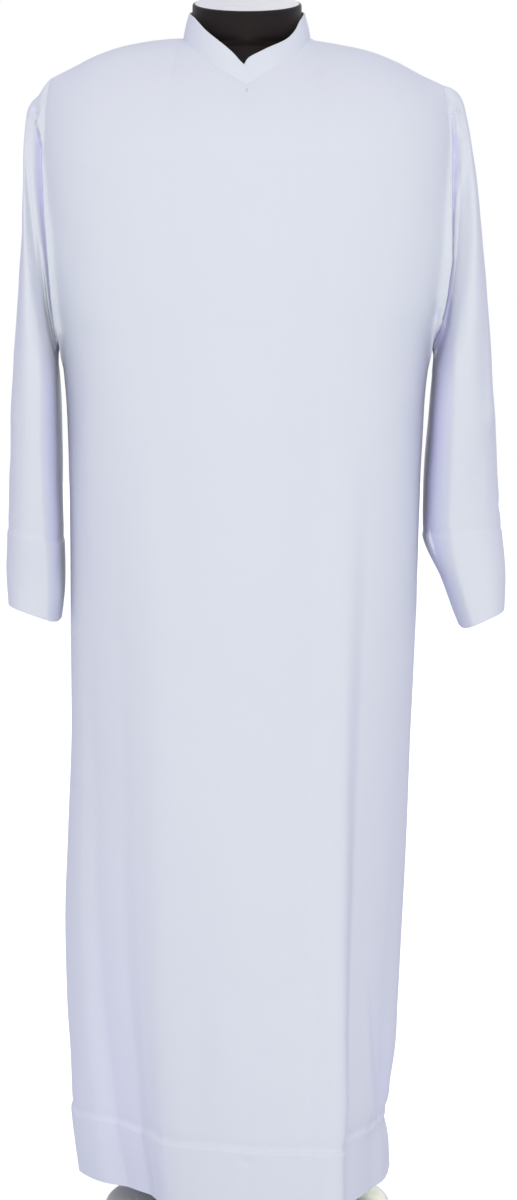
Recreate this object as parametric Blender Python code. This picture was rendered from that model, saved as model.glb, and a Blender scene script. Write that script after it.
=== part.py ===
"""A white alb hanging on a limbless dress form, in metres, +Z up, its front towards -Y.

The origin is the middle of the stand base's underside. Left and right are as seen from the front:
left is -X. The cloth is a thin wall: two panels, two sleeves and a stand collar, which part at their
seams by a hair. Each wall is worked out from rings: level rings round the body, quarter ellipses over
the shoulders and slanting rings that fan out round each armpit into the hanging sleeves.
"""

import math
from collections import namedtuple

import bmesh
import bpy
import numpy as np

# Cloth
WALL = 0.0018
SEAM_GAP = 0.0003
HEM_HEIGHT = 0.048
CHEST_HEIGHT = 1.300
ARMPIT_HEIGHT = 1.088
ARMHOLE_DEPTH = 0.036
# Neck
NECKLINE_SIDE = 0.078
NECKLINE_FRONT = 0.094
NECKLINE_BACK = 0.074
COLLAR_SIDE = 0.0708
COLLAR_FRONT = 0.086
COLLAR_BACK = 0.066
YOKE_NECK_ANGLE = 18.0
YOKE_FRONT_TURN = 45.0
YOKE_ROUNDNESS = 1.25
# Dress form and stand
FORM_CLEARANCE = 0.0006
FORM_SHOULDER = 0.208
FORM_NECK_HALF_WIDTH = 0.0668
FORM_NECK_FRONT = 0.062
FORM_NECK_BACK = 0.060
FORM_NECK_TOP = 1.503
FORM_NECK_SLOPE = math.tan(math.radians(17.0))
FORM_UNDERSIDE = 0.800
POLE_RADIUS = 0.014
BASE_RADIUS = 0.180
BASE_EDGE_HEIGHT = 0.008
BASE_DOME_HEIGHT = 0.020
BASE_HUB_RADIUS = 0.030

FRONT = -1
BACK = 1
LEFT = -1
RIGHT = 1

# Half widths and depths of the body's level rings, from the hem up
BodyRow = namedtuple("BodyRow", "height left right front back square")
BODY_ROWS = (
    BodyRow(0.048, 0.212, 0.177, 0.192, 0.190, 2.20),
    BodyRow(0.110, 0.219, 0.174, 0.190, 0.189, 2.20),
    BodyRow(0.150, 0.221, 0.182, 0.189, 0.187, 2.20),
    BodyRow(0.250, 0.226, 0.188, 0.185, 0.182, 2.20),
    BodyRow(0.370, 0.2285, 0.194, 0.180, 0.177, 2.20),
    BodyRow(0.480, 0.2245, 0.199, 0.175, 0.172, 2.25),
    BodyRow(0.632, 0.219, 0.204, 0.168, 0.164, 2.30),
    BodyRow(0.860, 0.219, 0.212, 0.160, 0.152, 2.40),
    BodyRow(1.000, 0.222, 0.216, 0.155, 0.146, 2.45),
    BodyRow(1.088, 0.229, 0.226, 0.151, 0.142, 2.50),
    BodyRow(1.140, 0.236, 0.239, 0.149, 0.140, 2.60),
    BodyRow(1.200, 0.242, 0.246, 0.146, 0.137, 2.65),
    BodyRow(1.300, 0.249, 0.249, 0.140, 0.132, 2.70),
)

# Top of the shoulder seam, by its distance from the middle
ShoulderRow = namedtuple("ShoulderRow", "distance left right")
SHOULDER_ROWS = (
    ShoulderRow(0.078, 1.4605, 1.4585),
    ShoulderRow(0.100, 1.4590, 1.4550),
    ShoulderRow(0.145, 1.4520, 1.4460),
    ShoulderRow(0.180, 1.4410, 1.4330),
    ShoulderRow(0.215, 1.4240, 1.4150),
    ShoulderRow(0.240, 1.4120, 1.4040),
)

# The stand collar round the neck: angle from the front, lower and upper edge, lean of the seam outwards
CollarRow = namedtuple("CollarRow", "angle base top tilt")
COLLAR_ROWS = (
    CollarRow(0.0, 1.394, 1.4200, 21.0),
    CollarRow(10.0, 1.402, 1.4320, 23.0),
    CollarRow(22.0, 1.412, 1.4430, 27.0),
    CollarRow(45.0, 1.4310, 1.4610, 36.0),
    CollarRow(67.0, 1.4500, 1.4790, 44.0),
    CollarRow(90.0, 1.4600, 1.4890, 48.0),
    CollarRow(135.0, 1.468, 1.5010, 40.0),
    CollarRow(180.0, 1.471, 1.5060, 35.0),
)

# Folds of the skirt: angle from the middle, how far the cloth stands out at the hem, where it starts
FoldRow = namedtuple("FoldRow", "angle reach start")
FRONT_FOLDS = (
    FoldRow(-90.0, 0.000, 0.90),
    FoldRow(-74.0, -0.026, 0.92),
    FoldRow(-62.0, -0.050, 0.98),
    FoldRow(-46.0, -0.054, 1.02),
    FoldRow(-36.0, -0.042, 1.00),
    FoldRow(-27.0, -0.027, 0.96),
    FoldRow(-12.0, -0.015, 0.90),
    FoldRow(6.0, 0.006, 0.90),
    FoldRow(19.0, 0.018, 0.94),
    FoldRow(30.0, 0.038, 1.00),
    FoldRow(39.0, -0.004, 1.00),
    FoldRow(50.0, -0.010, 0.96),
    FoldRow(66.0, -0.012, 0.90),
    FoldRow(80.0, -0.004, 0.86),
    FoldRow(90.0, 0.000, 0.90),
)
BACK_FOLDS = (
    FoldRow(-90.0, 0.000, 0.90),
    FoldRow(-76.0, 0.006, 0.86),
    FoldRow(-62.0, -0.020, 1.02),
    FoldRow(-47.0, 0.016, 1.02),
    FoldRow(-33.0, -0.022, 1.06),
    FoldRow(-17.0, 0.014, 1.00),
    FoldRow(2.0, -0.012, 0.90),
    FoldRow(20.0, 0.018, 1.04),
    FoldRow(37.0, -0.020, 1.06),
    FoldRow(52.0, 0.012, 0.96),
    FoldRow(66.0, -0.016, 0.98),
    FoldRow(79.0, 0.004, 0.84),
    FoldRow(90.0, 0.000, 0.90),
)
FOLD_GROWTH = 1.25

# Slanting rings of each sleeve, from the cap to the cuff: the outer and the inner point of the ring,
# the cloth's girth there and how far the front edge lies towards the body
SleeveRow = namedtuple("SleeveRow", "outer outer_height inner inner_height girth lean")
SLEEVE_ROWS = {
    LEFT: (
        SleeveRow(0.2475, 1.4035, 0.2308, 1.0855, 0.690, 0.00),
        SleeveRow(0.2545, 1.3935, 0.2320, 1.0820, 0.690, 0.02),
        SleeveRow(0.2638, 1.3838, 0.2328, 1.0770, 0.690, 0.04),
        SleeveRow(0.2688, 1.3700, 0.2332, 1.0710, 0.690, 0.06),
        SleeveRow(0.2702, 1.3450, 0.2335, 1.0640, 0.686, 0.08),
        SleeveRow(0.2704, 1.3000, 0.2336, 1.0560, 0.676, 0.12),
        SleeveRow(0.2706, 1.2400, 0.2336, 1.0470, 0.655, 0.18),
        SleeveRow(0.2740, 1.1800, 0.2335, 1.0370, 0.620, 0.25),
        SleeveRow(0.2785, 1.1200, 0.2333, 1.0250, 0.582, 0.32),
        SleeveRow(0.2830, 1.0600, 0.2330, 1.0050, 0.548, 0.38),
        SleeveRow(0.2872, 0.9900, 0.2323, 0.9650, 0.510, 0.40),
        SleeveRow(0.2900, 0.9250, 0.2312, 0.9100, 0.470, 0.40),
        SleeveRow(0.2930, 0.8640, 0.2298, 0.8480, 0.430, 0.38),
        SleeveRow(0.2960, 0.8100, 0.2286, 0.7900, 0.392, 0.30),
        SleeveRow(0.2945, 0.7700, 0.2330, 0.7480, 0.364, 0.20),
    ),
    RIGHT: (
        SleeveRow(0.2500, 1.4000, 0.2278, 1.0850, 0.690, 0.00),
        SleeveRow(0.2565, 1.3950, 0.2290, 1.0810, 0.690, 0.02),
        SleeveRow(0.2625, 1.3855, 0.2297, 1.0760, 0.690, 0.04),
        SleeveRow(0.2668, 1.3700, 0.2302, 1.0700, 0.690, 0.06),
        SleeveRow(0.2715, 1.3460, 0.2304, 1.0630, 0.686, 0.10),
        SleeveRow(0.2780, 1.3050, 0.2304, 1.0550, 0.676, 0.16),
        SleeveRow(0.2832, 1.2450, 0.2302, 1.0460, 0.655, 0.24),
        SleeveRow(0.2882, 1.1850, 0.2298, 1.0360, 0.622, 0.34),
        SleeveRow(0.2930, 1.1220, 0.2290, 1.0230, 0.586, 0.44),
        SleeveRow(0.2988, 1.0600, 0.2275, 1.0030, 0.550, 0.50),
        SleeveRow(0.3040, 0.9900, 0.2245, 0.9620, 0.512, 0.52),
        SleeveRow(0.3085, 0.9250, 0.2215, 0.9080, 0.472, 0.50),
        SleeveRow(0.3135, 0.8640, 0.2205, 0.8560, 0.430, 0.42),
        SleeveRow(0.3183, 0.8050, 0.2430, 0.7980, 0.390, 0.30),
        SleeveRow(0.3175, 0.7640, 0.2650, 0.7400, 0.362, 0.20),
    ),
}

# The armhole's outward bow fades out over this many rings
BULGE_RINGS = 9

# The dress form's rings below its shoulders, from the underside up
FormRow = namedtuple("FormRow", "height half_width front back square")
FORM_ROWS = (
    FormRow(0.800, 0.150, 0.098, 0.104, 2.2),
    FormRow(0.812, 0.163, 0.107, 0.113, 2.2),
    FormRow(0.850, 0.176, 0.115, 0.122, 2.2),
    FormRow(0.920, 0.181, 0.118, 0.125, 2.2),
    FormRow(1.000, 0.168, 0.112, 0.114, 2.2),
    FormRow(1.060, 0.158, 0.107, 0.104, 2.2),
    FormRow(1.140, 0.165, 0.113, 0.107, 2.2),
    FormRow(1.240, 0.184, 0.121, 0.114, 2.3),
    FormRow(1.310, 0.194, 0.116, 0.113, 2.3),
    FormRow(1.360, 0.203, 0.099, 0.103, 2.2),
    FormRow(1.390, 0.208, 0.084, 0.091, 2.1),
)
# Above them each ring ends at the shoulder line, so only its depths are given
FormYokeRow = namedtuple("FormYokeRow", "height front back square")
FORM_YOKE_ROWS = (
    FormYokeRow(1.404, 0.076, 0.083, 1.85),
    FormYokeRow(1.414, 0.070, 0.077, 1.65),
    FormYokeRow(1.424, 0.066, 0.071, 1.38),
    FormYokeRow(1.434, 0.063, 0.066, 1.20),
    FormYokeRow(1.443, 0.059, 0.060, 1.05),
)
FormNeckRow = namedtuple("FormNeckRow", "height half_width square")
FORM_NECK_ROWS = (
    FormNeckRow(1.4505, 0.0790, 1.35),
    FormNeckRow(1.4560, 0.0725, 1.70),
    FormNeckRow(1.4630, 0.0690, 1.90),
    FormNeckRow(1.4730, 0.0670, 2.00),
)

YOKE_SHARES = (0.0, 0.16, 0.33, 0.5, 0.67, 0.84)
ARMHOLE_HEIGHTS = (CHEST_HEIGHT, 1.245, 1.190, 1.140, 1.108, 1.093)
SKIRT_HEIGHTS = (
    ARMPIT_HEIGHT, 1.050, 0.980, 0.880, 0.760, 0.632, 0.500, 0.370, 0.250, 0.150, 0.110, HEM_HEIGHT
)
NECK_COLUMNS = (0.0, 3.6, 7.2, 10.8, 14.4, YOKE_NECK_ANGLE)
LEFT_COLUMNS = (23.0, 28.0, 33.0, 38.0, 44.0, 50.0, 56.0, 62.0, 68.0, 74.0, 79.5, 85.0, 90.0)
RIGHT_COLUMNS = (22.0, 26.0, 30.0, 33.0, 36.0, 39.0, 44.0, 50.0, 58.0, 66.0, 73.0, 80.0, 85.0, 90.0)
BACK_COLUMNS = (25.0, 32.0, 39.0, 46.0, 53.0, 60.0, 67.0, 74.0, 82.0, 90.0)
FORM_SEGMENTS = 32

# Colours are linear, as the shader takes them
CLOTH_WHITE = (0.72, 0.76, 0.82)
FORM_BLACK = (0.016, 0.010, 0.011)
STAND_WHITE = (0.80, 0.80, 0.81)


def clear_scene():
    for thing in list(bpy.data.objects):
        bpy.data.objects.remove(thing, do_unlink=True)


def make_material(name, colour, roughness, metallic):
    material = bpy.data.materials.new(name)
    material.use_nodes = True
    shader = material.node_tree.nodes["Principled BSDF"]
    shader.inputs["Base Color"].default_value = (*colour, 1.0)
    shader.inputs["Roughness"].default_value = roughness
    shader.inputs["Metallic"].default_value = metallic
    return material


def read_curve(rows, column, at):
    """A column's value at a place along its rows' first column, on a smooth curve with no overshoot."""
    knots = np.array([row[0] for row in rows])
    values = np.array([getattr(row, column) for row in rows])
    steps = np.diff(knots)
    slopes = np.diff(values) / steps
    tangents = np.concatenate([slopes[:1], np.zeros(len(knots) - 2), slopes[-1:]])
    for i in range(1, len(knots) - 1):
        if slopes[i - 1] * slopes[i] > 0:
            before = 2 * steps[i] + steps[i - 1]
            after = steps[i] + 2 * steps[i - 1]
            tangents[i] = (before + after) / (before / slopes[i - 1] + after / slopes[i])
    at = min(max(at, knots[0]), knots[-1])
    i = min(max(int(np.searchsorted(knots, at)) - 1, 0), len(steps) - 1)
    share = (at - knots[i]) / steps[i]
    rest = 1 - share
    return float(
        values[i] * rest * rest * (1 + 2 * share)
        + values[i + 1] * share * share * (1 + 2 * rest)
        + steps[i] * share * rest * (tangents[i] * rest - tangents[i + 1] * share)
    )


def unit(vector):
    return vector / max(float(np.linalg.norm(vector)), 1e-9)


def fold_reach(angle, facing, height):
    """How far the folds carry the cloth out from the plain ring; each grows from its start to the hem."""
    rows = []
    for row in FRONT_FOLDS if facing == FRONT else BACK_FOLDS:
        grown = max(0.0, (row.start - height) / (row.start - HEM_HEIGHT)) ** FOLD_GROWTH
        rows.append(FoldRow(row.angle, row.reach * grown, row.start))
    return read_curve(rows, "reach", angle)


def body_point(angle, facing, height):
    """The body's outer face at an angle from the middle line and a height."""
    side = LEFT if angle < 0 else RIGHT
    half_width = read_curve(BODY_ROWS, "left" if side == LEFT else "right", height)
    depth = read_curve(BODY_ROWS, "front" if facing == FRONT else "back", height)
    square = read_curve(BODY_ROWS, "square", height)
    across = abs(math.sin(math.radians(angle))) ** (2 / square)
    along = max(math.cos(math.radians(angle)), 0.0) ** (2 / square)
    out = unit(np.array([side * across ** (square - 1) / half_width, facing * along ** (square - 1) / depth, 0.0]))
    plain = np.array([side * across * half_width, facing * along * depth, height])
    return plain + out * fold_reach(angle, facing, height)


def armhole_angle(angle, facing, height):
    """The outermost angle of a panel at a height: 90 degrees at a side seam, less along the armhole."""
    top = shoulder_height(SHOULDER_ROWS[-1].distance, LEFT if angle < 0 else RIGHT)
    middle = (top + ARMPIT_HEIGHT) / 2
    share = (height - middle) / (top - middle)
    if abs(share) >= 1:
        return 90.0
    depth = read_curve(BODY_ROWS, "front" if facing == FRONT else "back", height)
    square = read_curve(BODY_ROWS, "square", height)
    edge = ARMHOLE_DEPTH * math.sqrt(1 - share * share) / depth
    return math.degrees(math.acos(edge ** (square / 2)))


def shoulder_height(distance, side):
    return read_curve(SHOULDER_ROWS, "left" if side == LEFT else "right", distance)


def neck_point(angle):
    """The neckline seam at an angle from the front, its outward direction and its way up to the collar."""
    turn = math.radians(angle)
    bend = abs((angle + 180) % 360 - 180)
    reach = NECKLINE_FRONT if bend < 90 else NECKLINE_BACK
    place = np.array(
        [NECKLINE_SIDE * math.sin(turn), -reach * math.cos(turn), read_curve(COLLAR_ROWS, "base", bend)]
    )
    tilt = math.radians(read_curve(COLLAR_ROWS, "tilt", bend))
    flat = unit(np.array([math.sin(turn) / NECKLINE_SIDE, -math.cos(turn) / reach, 0.0]))
    out = flat * math.cos(tilt) + np.array([0.0, 0.0, math.sin(tilt)])
    up = np.array([0.0, 0.0, math.cos(tilt)]) - flat * math.sin(tilt)
    return place, out, up


def yoke_top(angle, facing):
    """The panel's upper edge: the neckline near the middle, and the shoulder seam outside it."""
    side = LEFT if angle < 0 else RIGHT
    if abs(angle) <= YOKE_NECK_ANGLE:
        quarter = 90 * abs(angle) / YOKE_NECK_ANGLE
        round_neck = quarter if facing == FRONT else 180 - quarter
        return neck_point(side * round_neck)[0]
    edge = armhole_angle(angle, facing, CHEST_HEIGHT)
    inner = abs(body_point(side * YOKE_NECK_ANGLE * edge / 90, facing, CHEST_HEIGHT)[0])
    outer = abs(body_point(side * edge, facing, CHEST_HEIGHT)[0])
    here = abs(body_point(angle * edge / 90, facing, CHEST_HEIGHT)[0])
    share = (here - inner) / (outer - inner)
    distance = NECKLINE_SIDE + (SHOULDER_ROWS[-1].distance - NECKLINE_SIDE) * share
    return np.array([side * distance, 0.0, shoulder_height(distance, side)])


def yoke_point(angle, facing, share):
    """Over the shoulder: a quarter ellipse from the upper edge to the chest ring."""
    top = yoke_top(angle, facing)
    edge = armhole_angle(angle, facing, CHEST_HEIGHT)
    chest = body_point(angle * edge / 90, facing, CHEST_HEIGHT)
    towards_middle = math.cos(math.radians(90 * min(abs(angle) / YOKE_NECK_ANGLE, 1.0)))
    first = math.radians(YOKE_FRONT_TURN * towards_middle)
    turn = first + (math.pi / 2 - first) * share
    started = math.sin(first) ** YOKE_ROUNDNESS
    height_left = math.cos(first) ** YOKE_ROUNDNESS
    out = (math.sin(turn) ** YOKE_ROUNDNESS - started) / (1 - started)
    down = 1 - max(math.cos(turn), 0.0) ** YOKE_ROUNDNESS / height_left
    return top + (chest - top) * np.array([out, out, down])


def panel_grid(facing, columns):
    """Rows of points from the neck to the hem, one point for each column angle."""
    grid = [[yoke_point(angle, facing, share) for angle in columns] for share in YOKE_SHARES]
    for height in ARMHOLE_HEIGHTS + SKIRT_HEIGHTS:
        grid.append(
            [body_point(a * armhole_angle(a, facing, height) / 90, facing, height) for a in columns]
        )
    return np.array(grid)


def grid_normals(grid, closed):
    """Outward directions at a grid's points; closed says that its last column meets the first."""
    if closed:
        across = np.roll(grid, -1, axis=1) - np.roll(grid, 1, axis=1)
    else:
        across = np.gradient(grid, axis=1)
    down = np.gradient(grid, axis=0)
    normals = np.cross(down, across)
    return normals / np.linalg.norm(normals, axis=2, keepdims=True)


def armhole_out(edge, facing):
    """Outward directions along one armhole edge, square to it in the side view."""
    run = np.gradient(edge, axis=0)
    out = np.stack([np.zeros(len(edge)), -facing * run[:, 2], facing * run[:, 1]], axis=1)
    out = np.array([unit(v) for v in out])
    out[0] = (0.0, 0.0, 1.0)
    out[-1] = (0.0, 0.0, -1.0)
    return out


def wall_mesh(name, outer, inner, closed):
    """A closed wall between two grids of points; the same diagonal cuts each outer and inner quad."""
    rows, columns = outer.shape[:2]
    mesh = bmesh.new()
    skins = [[[mesh.verts.new(p) for p in row] for row in grid] for grid in (outer, inner)]
    across = columns if closed else columns - 1
    for i in range(rows - 1):
        for j in range(across):
            k = (j + 1) % columns
            one = np.linalg.norm(outer[i, j] - outer[i + 1, k])
            other = np.linalg.norm(outer[i, k] - outer[i + 1, j])
            for skin, flip in zip(skins, (False, True)):
                a, b, c, d = skin[i][j], skin[i + 1][j], skin[i + 1][k], skin[i][k]
                halves = ((a, b, c), (a, c, d)) if one < other else ((a, b, d), (b, c, d))
                for half in halves:
                    mesh.faces.new(half[::-1] if flip else half)
    top, under = skins
    for j in range(across):
        k = (j + 1) % columns
        mesh.faces.new((top[0][j], top[0][k], under[0][k], under[0][j]))
        mesh.faces.new((top[-1][k], top[-1][j], under[-1][j], under[-1][k]))
    if not closed:
        for i in range(rows - 1):
            mesh.faces.new((top[i + 1][0], top[i][0], under[i][0], under[i + 1][0]))
            mesh.faces.new((top[i][-1], top[i + 1][-1], under[i + 1][-1], under[i][-1]))
    return finish_mesh(name, mesh)


def finish_mesh(name, mesh):
    bmesh.ops.recalc_face_normals(mesh, faces=mesh.faces)
    if mesh.calc_volume(signed=True) < 0:
        bmesh.ops.reverse_faces(mesh, faces=mesh.faces)
    data = bpy.data.meshes.new(name)
    mesh.to_mesh(data)
    mesh.free()
    data.shade_smooth()
    data.set_sharp_from_angle(angle=math.radians(40))
    return data


def add_object(name, data, material, parent):
    data.materials.append(material)
    thing = bpy.data.objects.new(name, data)
    bpy.context.collection.objects.link(thing)
    thing.parent = parent
    return thing


def panel_columns(facing):
    if facing == FRONT:
        left = NECK_COLUMNS[1:] + LEFT_COLUMNS
        right = NECK_COLUMNS[1:] + RIGHT_COLUMNS
    else:
        left = right = NECK_COLUMNS[1:] + BACK_COLUMNS
    return tuple(-a for a in reversed(left)) + (0.0,) + right


def build_panel(facing):
    """The front or the back: shoulder, neckline and armhole edges, side seams and hem."""
    columns = panel_columns(facing)
    grid = panel_grid(facing, columns)
    out = grid_normals(grid, closed=False)
    if facing == BACK:
        out = -out
    armhole_rows = len(YOKE_SHARES) + len(ARMHOLE_HEIGHTS) + 1
    for column in (0, -1):
        out[armhole_rows:, column, 1] = 0.0
        out[:armhole_rows, column] = armhole_out(grid[:armhole_rows, column], facing)
    for column, angle in enumerate(columns):
        if abs(angle) <= YOKE_NECK_ANGLE:
            side = LEFT if angle < 0 else RIGHT
            quarter = 90 * abs(angle) / YOKE_NECK_ANGLE
            out[0, column] = neck_point(side * (quarter if facing == FRONT else 180 - quarter))[1]
        else:
            out[0, column, 1] = 0.0
    out[-1, :, 2] = 0.0
    out = out / np.linalg.norm(out, axis=2, keepdims=True)
    outer = grid + np.array([0.0, facing * SEAM_GAP / 2, 0.0])
    return outer, outer - out * WALL


def armhole_loop(side):
    """The armhole's points from the shoulder down the front, and up the back, with outward directions."""
    loop = []
    for facing in (FRONT, BACK):
        grid = panel_grid(facing, (side * 90.0,))
        edge = grid[: len(YOKE_SHARES) + len(ARMHOLE_HEIGHTS) + 1, 0]
        loop.append((edge, armhole_out(edge, facing)))
    (front, front_out), (back, back_out) = loop
    points = np.concatenate([front, back[-2:0:-1]])
    return points, np.concatenate([front_out, back_out[-2:0:-1]])


def ring_depth(half_length, girth):
    """Half the depth of a flattened ring of cloth, from its half length and its girth."""
    low, high = 0.0, girth / 2
    for _ in range(40):
        depth = (low + high) / 2
        total = 3 * (half_length + depth)
        round_it = math.pi * (
            total - math.sqrt((3 * half_length + depth) * (half_length + 3 * depth))
        )
        low, high = (depth, high) if round_it < girth else (low, depth)
    return (low + high) / 2


def sleeve_grid(side):
    """Rings of the hanging sleeve; their points keep the armhole's own angles round the ring."""
    loop, _ = armhole_loop(side)
    low, high = loop[:, 2].min(), loop[:, 2].max()
    share = np.clip((2 * loop[:, 2] - low - high) / (high - low), -1, 1)
    turn = np.arccos(share) * np.where(loop[:, 1] > 0, -1, 1)
    shoulder, armpit = loop[share.argmax()], loop[share.argmin()]
    straight = armpit[0] + (shoulder[0] - armpit[0]) * (share + 1) / 2
    bulge = loop[:, 0] - straight
    first = loop + np.array([side * SEAM_GAP, 0.0, 0.0])
    grid = [first]
    for number, row in enumerate(SLEEVE_ROWS[side]):
        outer = np.array([side * row.outer, 0.0, row.outer_height])
        inner = np.array([side * row.inner, 0.0, row.inner_height])
        half = (outer - inner) / 2
        depth = ring_depth(float(np.linalg.norm(half)), row.girth)
        along = np.cos(turn) - row.lean * np.sin(turn) ** 2
        ring = (outer + inner) / 2 + np.outer(along, half)
        ring[:, 0] += bulge * max(0.0, 1 - number / BULGE_RINGS)
        ring[:, 1] = -np.sin(turn) * depth
        grid.append(ring)
    return np.array(grid)


def build_sleeve(side):
    grid = sleeve_grid(side)
    out = grid_normals(grid, closed=True)
    if side == RIGHT:
        out = -out
    out[0] = armhole_loop(side)[1]
    return grid, grid - out * WALL


def collar_angles():
    """Angles round the collar from its left front end to its right one, matching the panels' columns."""
    quarter = [90 * a / YOKE_NECK_ANGLE for a in NECK_COLUMNS]
    half = quarter + [180 - a for a in reversed(quarter[:-1])]
    return [-a for a in half] + [a for a in reversed(half[:-1])]


def build_collar():
    """The stand collar: one band round the neck whose two front ends part in a small V."""
    outer, inner = [], []
    angles = collar_angles()
    for share in (0.0, 0.5, 1.0):
        outer_row, inner_row = [], []
        for i, angle in enumerate(angles):
            base, out, up = neck_point(angle)
            turn = math.radians(angle)
            bend = abs((angle + 180) % 360 - 180)
            reach = COLLAR_FRONT if bend < 90 else COLLAR_BACK
            top = np.array(
                [COLLAR_SIDE * math.sin(turn), -reach * math.cos(turn), read_curve(COLLAR_ROWS, "top", bend)]
            )
            flat = unit(np.array([math.sin(turn) / COLLAR_SIDE, -math.cos(turn) / reach, 0.0]))
            low = base + up * SEAM_GAP
            place = low + (top - low) * share
            direction = unit(out * (1 - share) + flat * share)
            shift = np.zeros(3)
            if i in (0, len(angles) - 1):
                end = LEFT if i == 0 else RIGHT
                shift[0] = end * SEAM_GAP * (0.5 + share)
                direction[0] = 0.0
                direction = unit(direction)
            outer_row.append(place + shift)
            inner_row.append(place + shift - direction * WALL)
        outer.append(outer_row)
        inner.append(inner_row)
    return np.array(outer)[::-1], np.array(inner)[::-1]


def form_reach(height, side):
    """How far out the form's shoulder ridge lies at a height: just under the cloth's shoulder seam."""
    drop = WALL * 1.08 + FORM_CLEARANCE
    low, high = NECKLINE_SIDE, FORM_SHOULDER
    for _ in range(40):
        distance = (low + high) / 2
        above = shoulder_height(distance, side) - drop > height
        low, high = (distance, high) if above else (low, distance)
    return (low + high) / 2


def form_ring(height, left, right, front, back, square, slope=0.0):
    ring = []
    for i in range(FORM_SEGMENTS):
        turn = 2 * math.pi * i / FORM_SEGMENTS
        sine, cosine = math.sin(turn), math.cos(turn)
        across = math.copysign(abs(sine) ** (2 / square), sine) * (right if sine > 0 else left)
        along = -math.copysign(abs(cosine) ** (2 / square), cosine) * (front if cosine > 0 else back)
        ring.append((across, along, height + slope * along))
    return ring


def form_rings():
    """The dress form's rings from its underside to the slanting top of its neck."""
    rings = []
    for row in FORM_ROWS:
        rings.append(form_ring(row.height, row.half_width, row.half_width, row.front, row.back, row.square))
    for row in FORM_YOKE_ROWS:
        left = form_reach(row.height, LEFT)
        right = form_reach(row.height, RIGHT)
        rings.append(form_ring(row.height, left, right, row.front, row.back, row.square))
    for row in FORM_NECK_ROWS:
        rings.append(
            form_ring(
                row.height, row.half_width, row.half_width, FORM_NECK_FRONT, FORM_NECK_BACK, row.square
            )
        )
    edge = 0.003
    for height, inset in ((FORM_NECK_TOP - edge, 0.0), (FORM_NECK_TOP, edge)):
        width = FORM_NECK_HALF_WIDTH - inset
        front = FORM_NECK_FRONT - inset
        back = FORM_NECK_BACK - inset
        rings.append(form_ring(height, width, width, front, back, 2.0, FORM_NECK_SLOPE))
    return rings


def build_form():
    """A smooth closed body: rings bridged in turn, with a flat underside and a slanting neck top."""
    mesh = bmesh.new()
    rings = [[mesh.verts.new(p) for p in ring] for ring in form_rings()]
    for lower, upper in zip(rings, rings[1:]):
        for j in range(FORM_SEGMENTS):
            k = (j + 1) % FORM_SEGMENTS
            mesh.faces.new((lower[j], lower[k], upper[k], upper[j]))
    mesh.faces.new(rings[0][::-1])
    mesh.faces.new(rings[-1])
    return finish_mesh("dress_form", mesh)


def build_pole(bottom, top):
    mesh = bmesh.new()
    bmesh.ops.create_cone(
        mesh, cap_ends=True, segments=20, radius1=POLE_RADIUS, radius2=POLE_RADIUS, depth=top - bottom
    )
    bmesh.ops.translate(mesh, verts=mesh.verts, vec=(0.0, 0.0, (top + bottom) / 2))
    return finish_mesh("stand_pole", mesh)


def build_base():
    """A turned disc: flat underside, short upright edge and a low dome up to the hub."""
    profile = (
        (0.0, BASE_DOME_HEIGHT),
        (BASE_HUB_RADIUS, BASE_DOME_HEIGHT),
        (BASE_RADIUS * 0.6, BASE_DOME_HEIGHT - 0.005),
        (BASE_RADIUS - 0.004, BASE_EDGE_HEIGHT + 0.002),
        (BASE_RADIUS, BASE_EDGE_HEIGHT - 0.001),
        (BASE_RADIUS, 0.0),
        (0.0, 0.0),
    )
    mesh = bmesh.new()
    points = [mesh.verts.new((radius, 0.0, height)) for radius, height in profile]
    edges = [mesh.edges.new(pair) for pair in zip(points, points[1:])]
    bmesh.ops.spin(
        mesh, geom=points + edges, axis=(0, 0, 1), cent=(0, 0, 0), angle=2 * math.pi, steps=36
    )
    bmesh.ops.remove_doubles(mesh, verts=mesh.verts, dist=0.00005)
    return finish_mesh("stand_base", mesh)


def main():
    clear_scene()
    cloth = make_material("alb_cloth", CLOTH_WHITE, 0.75, 0.0)
    form_cover = make_material("form_cover", FORM_BLACK, 0.85, 0.0)
    stand_metal = make_material("stand_metal", STAND_WHITE, 0.4, 0.0)
    alb = bpy.data.objects.new("alb_on_dress_form", None)
    bpy.context.collection.objects.link(alb)

    for name, facing in (("alb_front", FRONT), ("alb_back", BACK)):
        outer, inner = build_panel(facing)
        add_object(name, wall_mesh(name, outer, inner, closed=False), cloth, alb)
    for name, side in (("alb_sleeve_left", LEFT), ("alb_sleeve_right", RIGHT)):
        outer, inner = build_sleeve(side)
        add_object(name, wall_mesh(name, outer, inner, closed=True), cloth, alb)
    outer, inner = build_collar()
    add_object("alb_collar", wall_mesh("alb_collar", outer, inner, closed=False), cloth, alb)

    add_object("dress_form", build_form(), form_cover, alb)
    pole = build_pole(BASE_DOME_HEIGHT + SEAM_GAP, FORM_UNDERSIDE - SEAM_GAP)
    add_object("stand_pole", pole, stand_metal, alb)
    add_object("stand_base", build_base(), stand_metal, alb)


main()
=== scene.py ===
# %% [markdown]
# A white alb on a dress form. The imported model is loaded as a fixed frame, in metres, with the floor at
# height 0, the alb's front towards -Y and +X on the right as seen from the front. Its solids are plain
# walls of cloth. This lesson gives each wall the finer surface that the eye expects: creases, turned
# hems, seams, stitches and a woven finish. Each new piece lies where its solid lies.

import math
from collections import namedtuple

import bmesh
import bpy
import numpy as np
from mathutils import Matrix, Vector, noise


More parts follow.
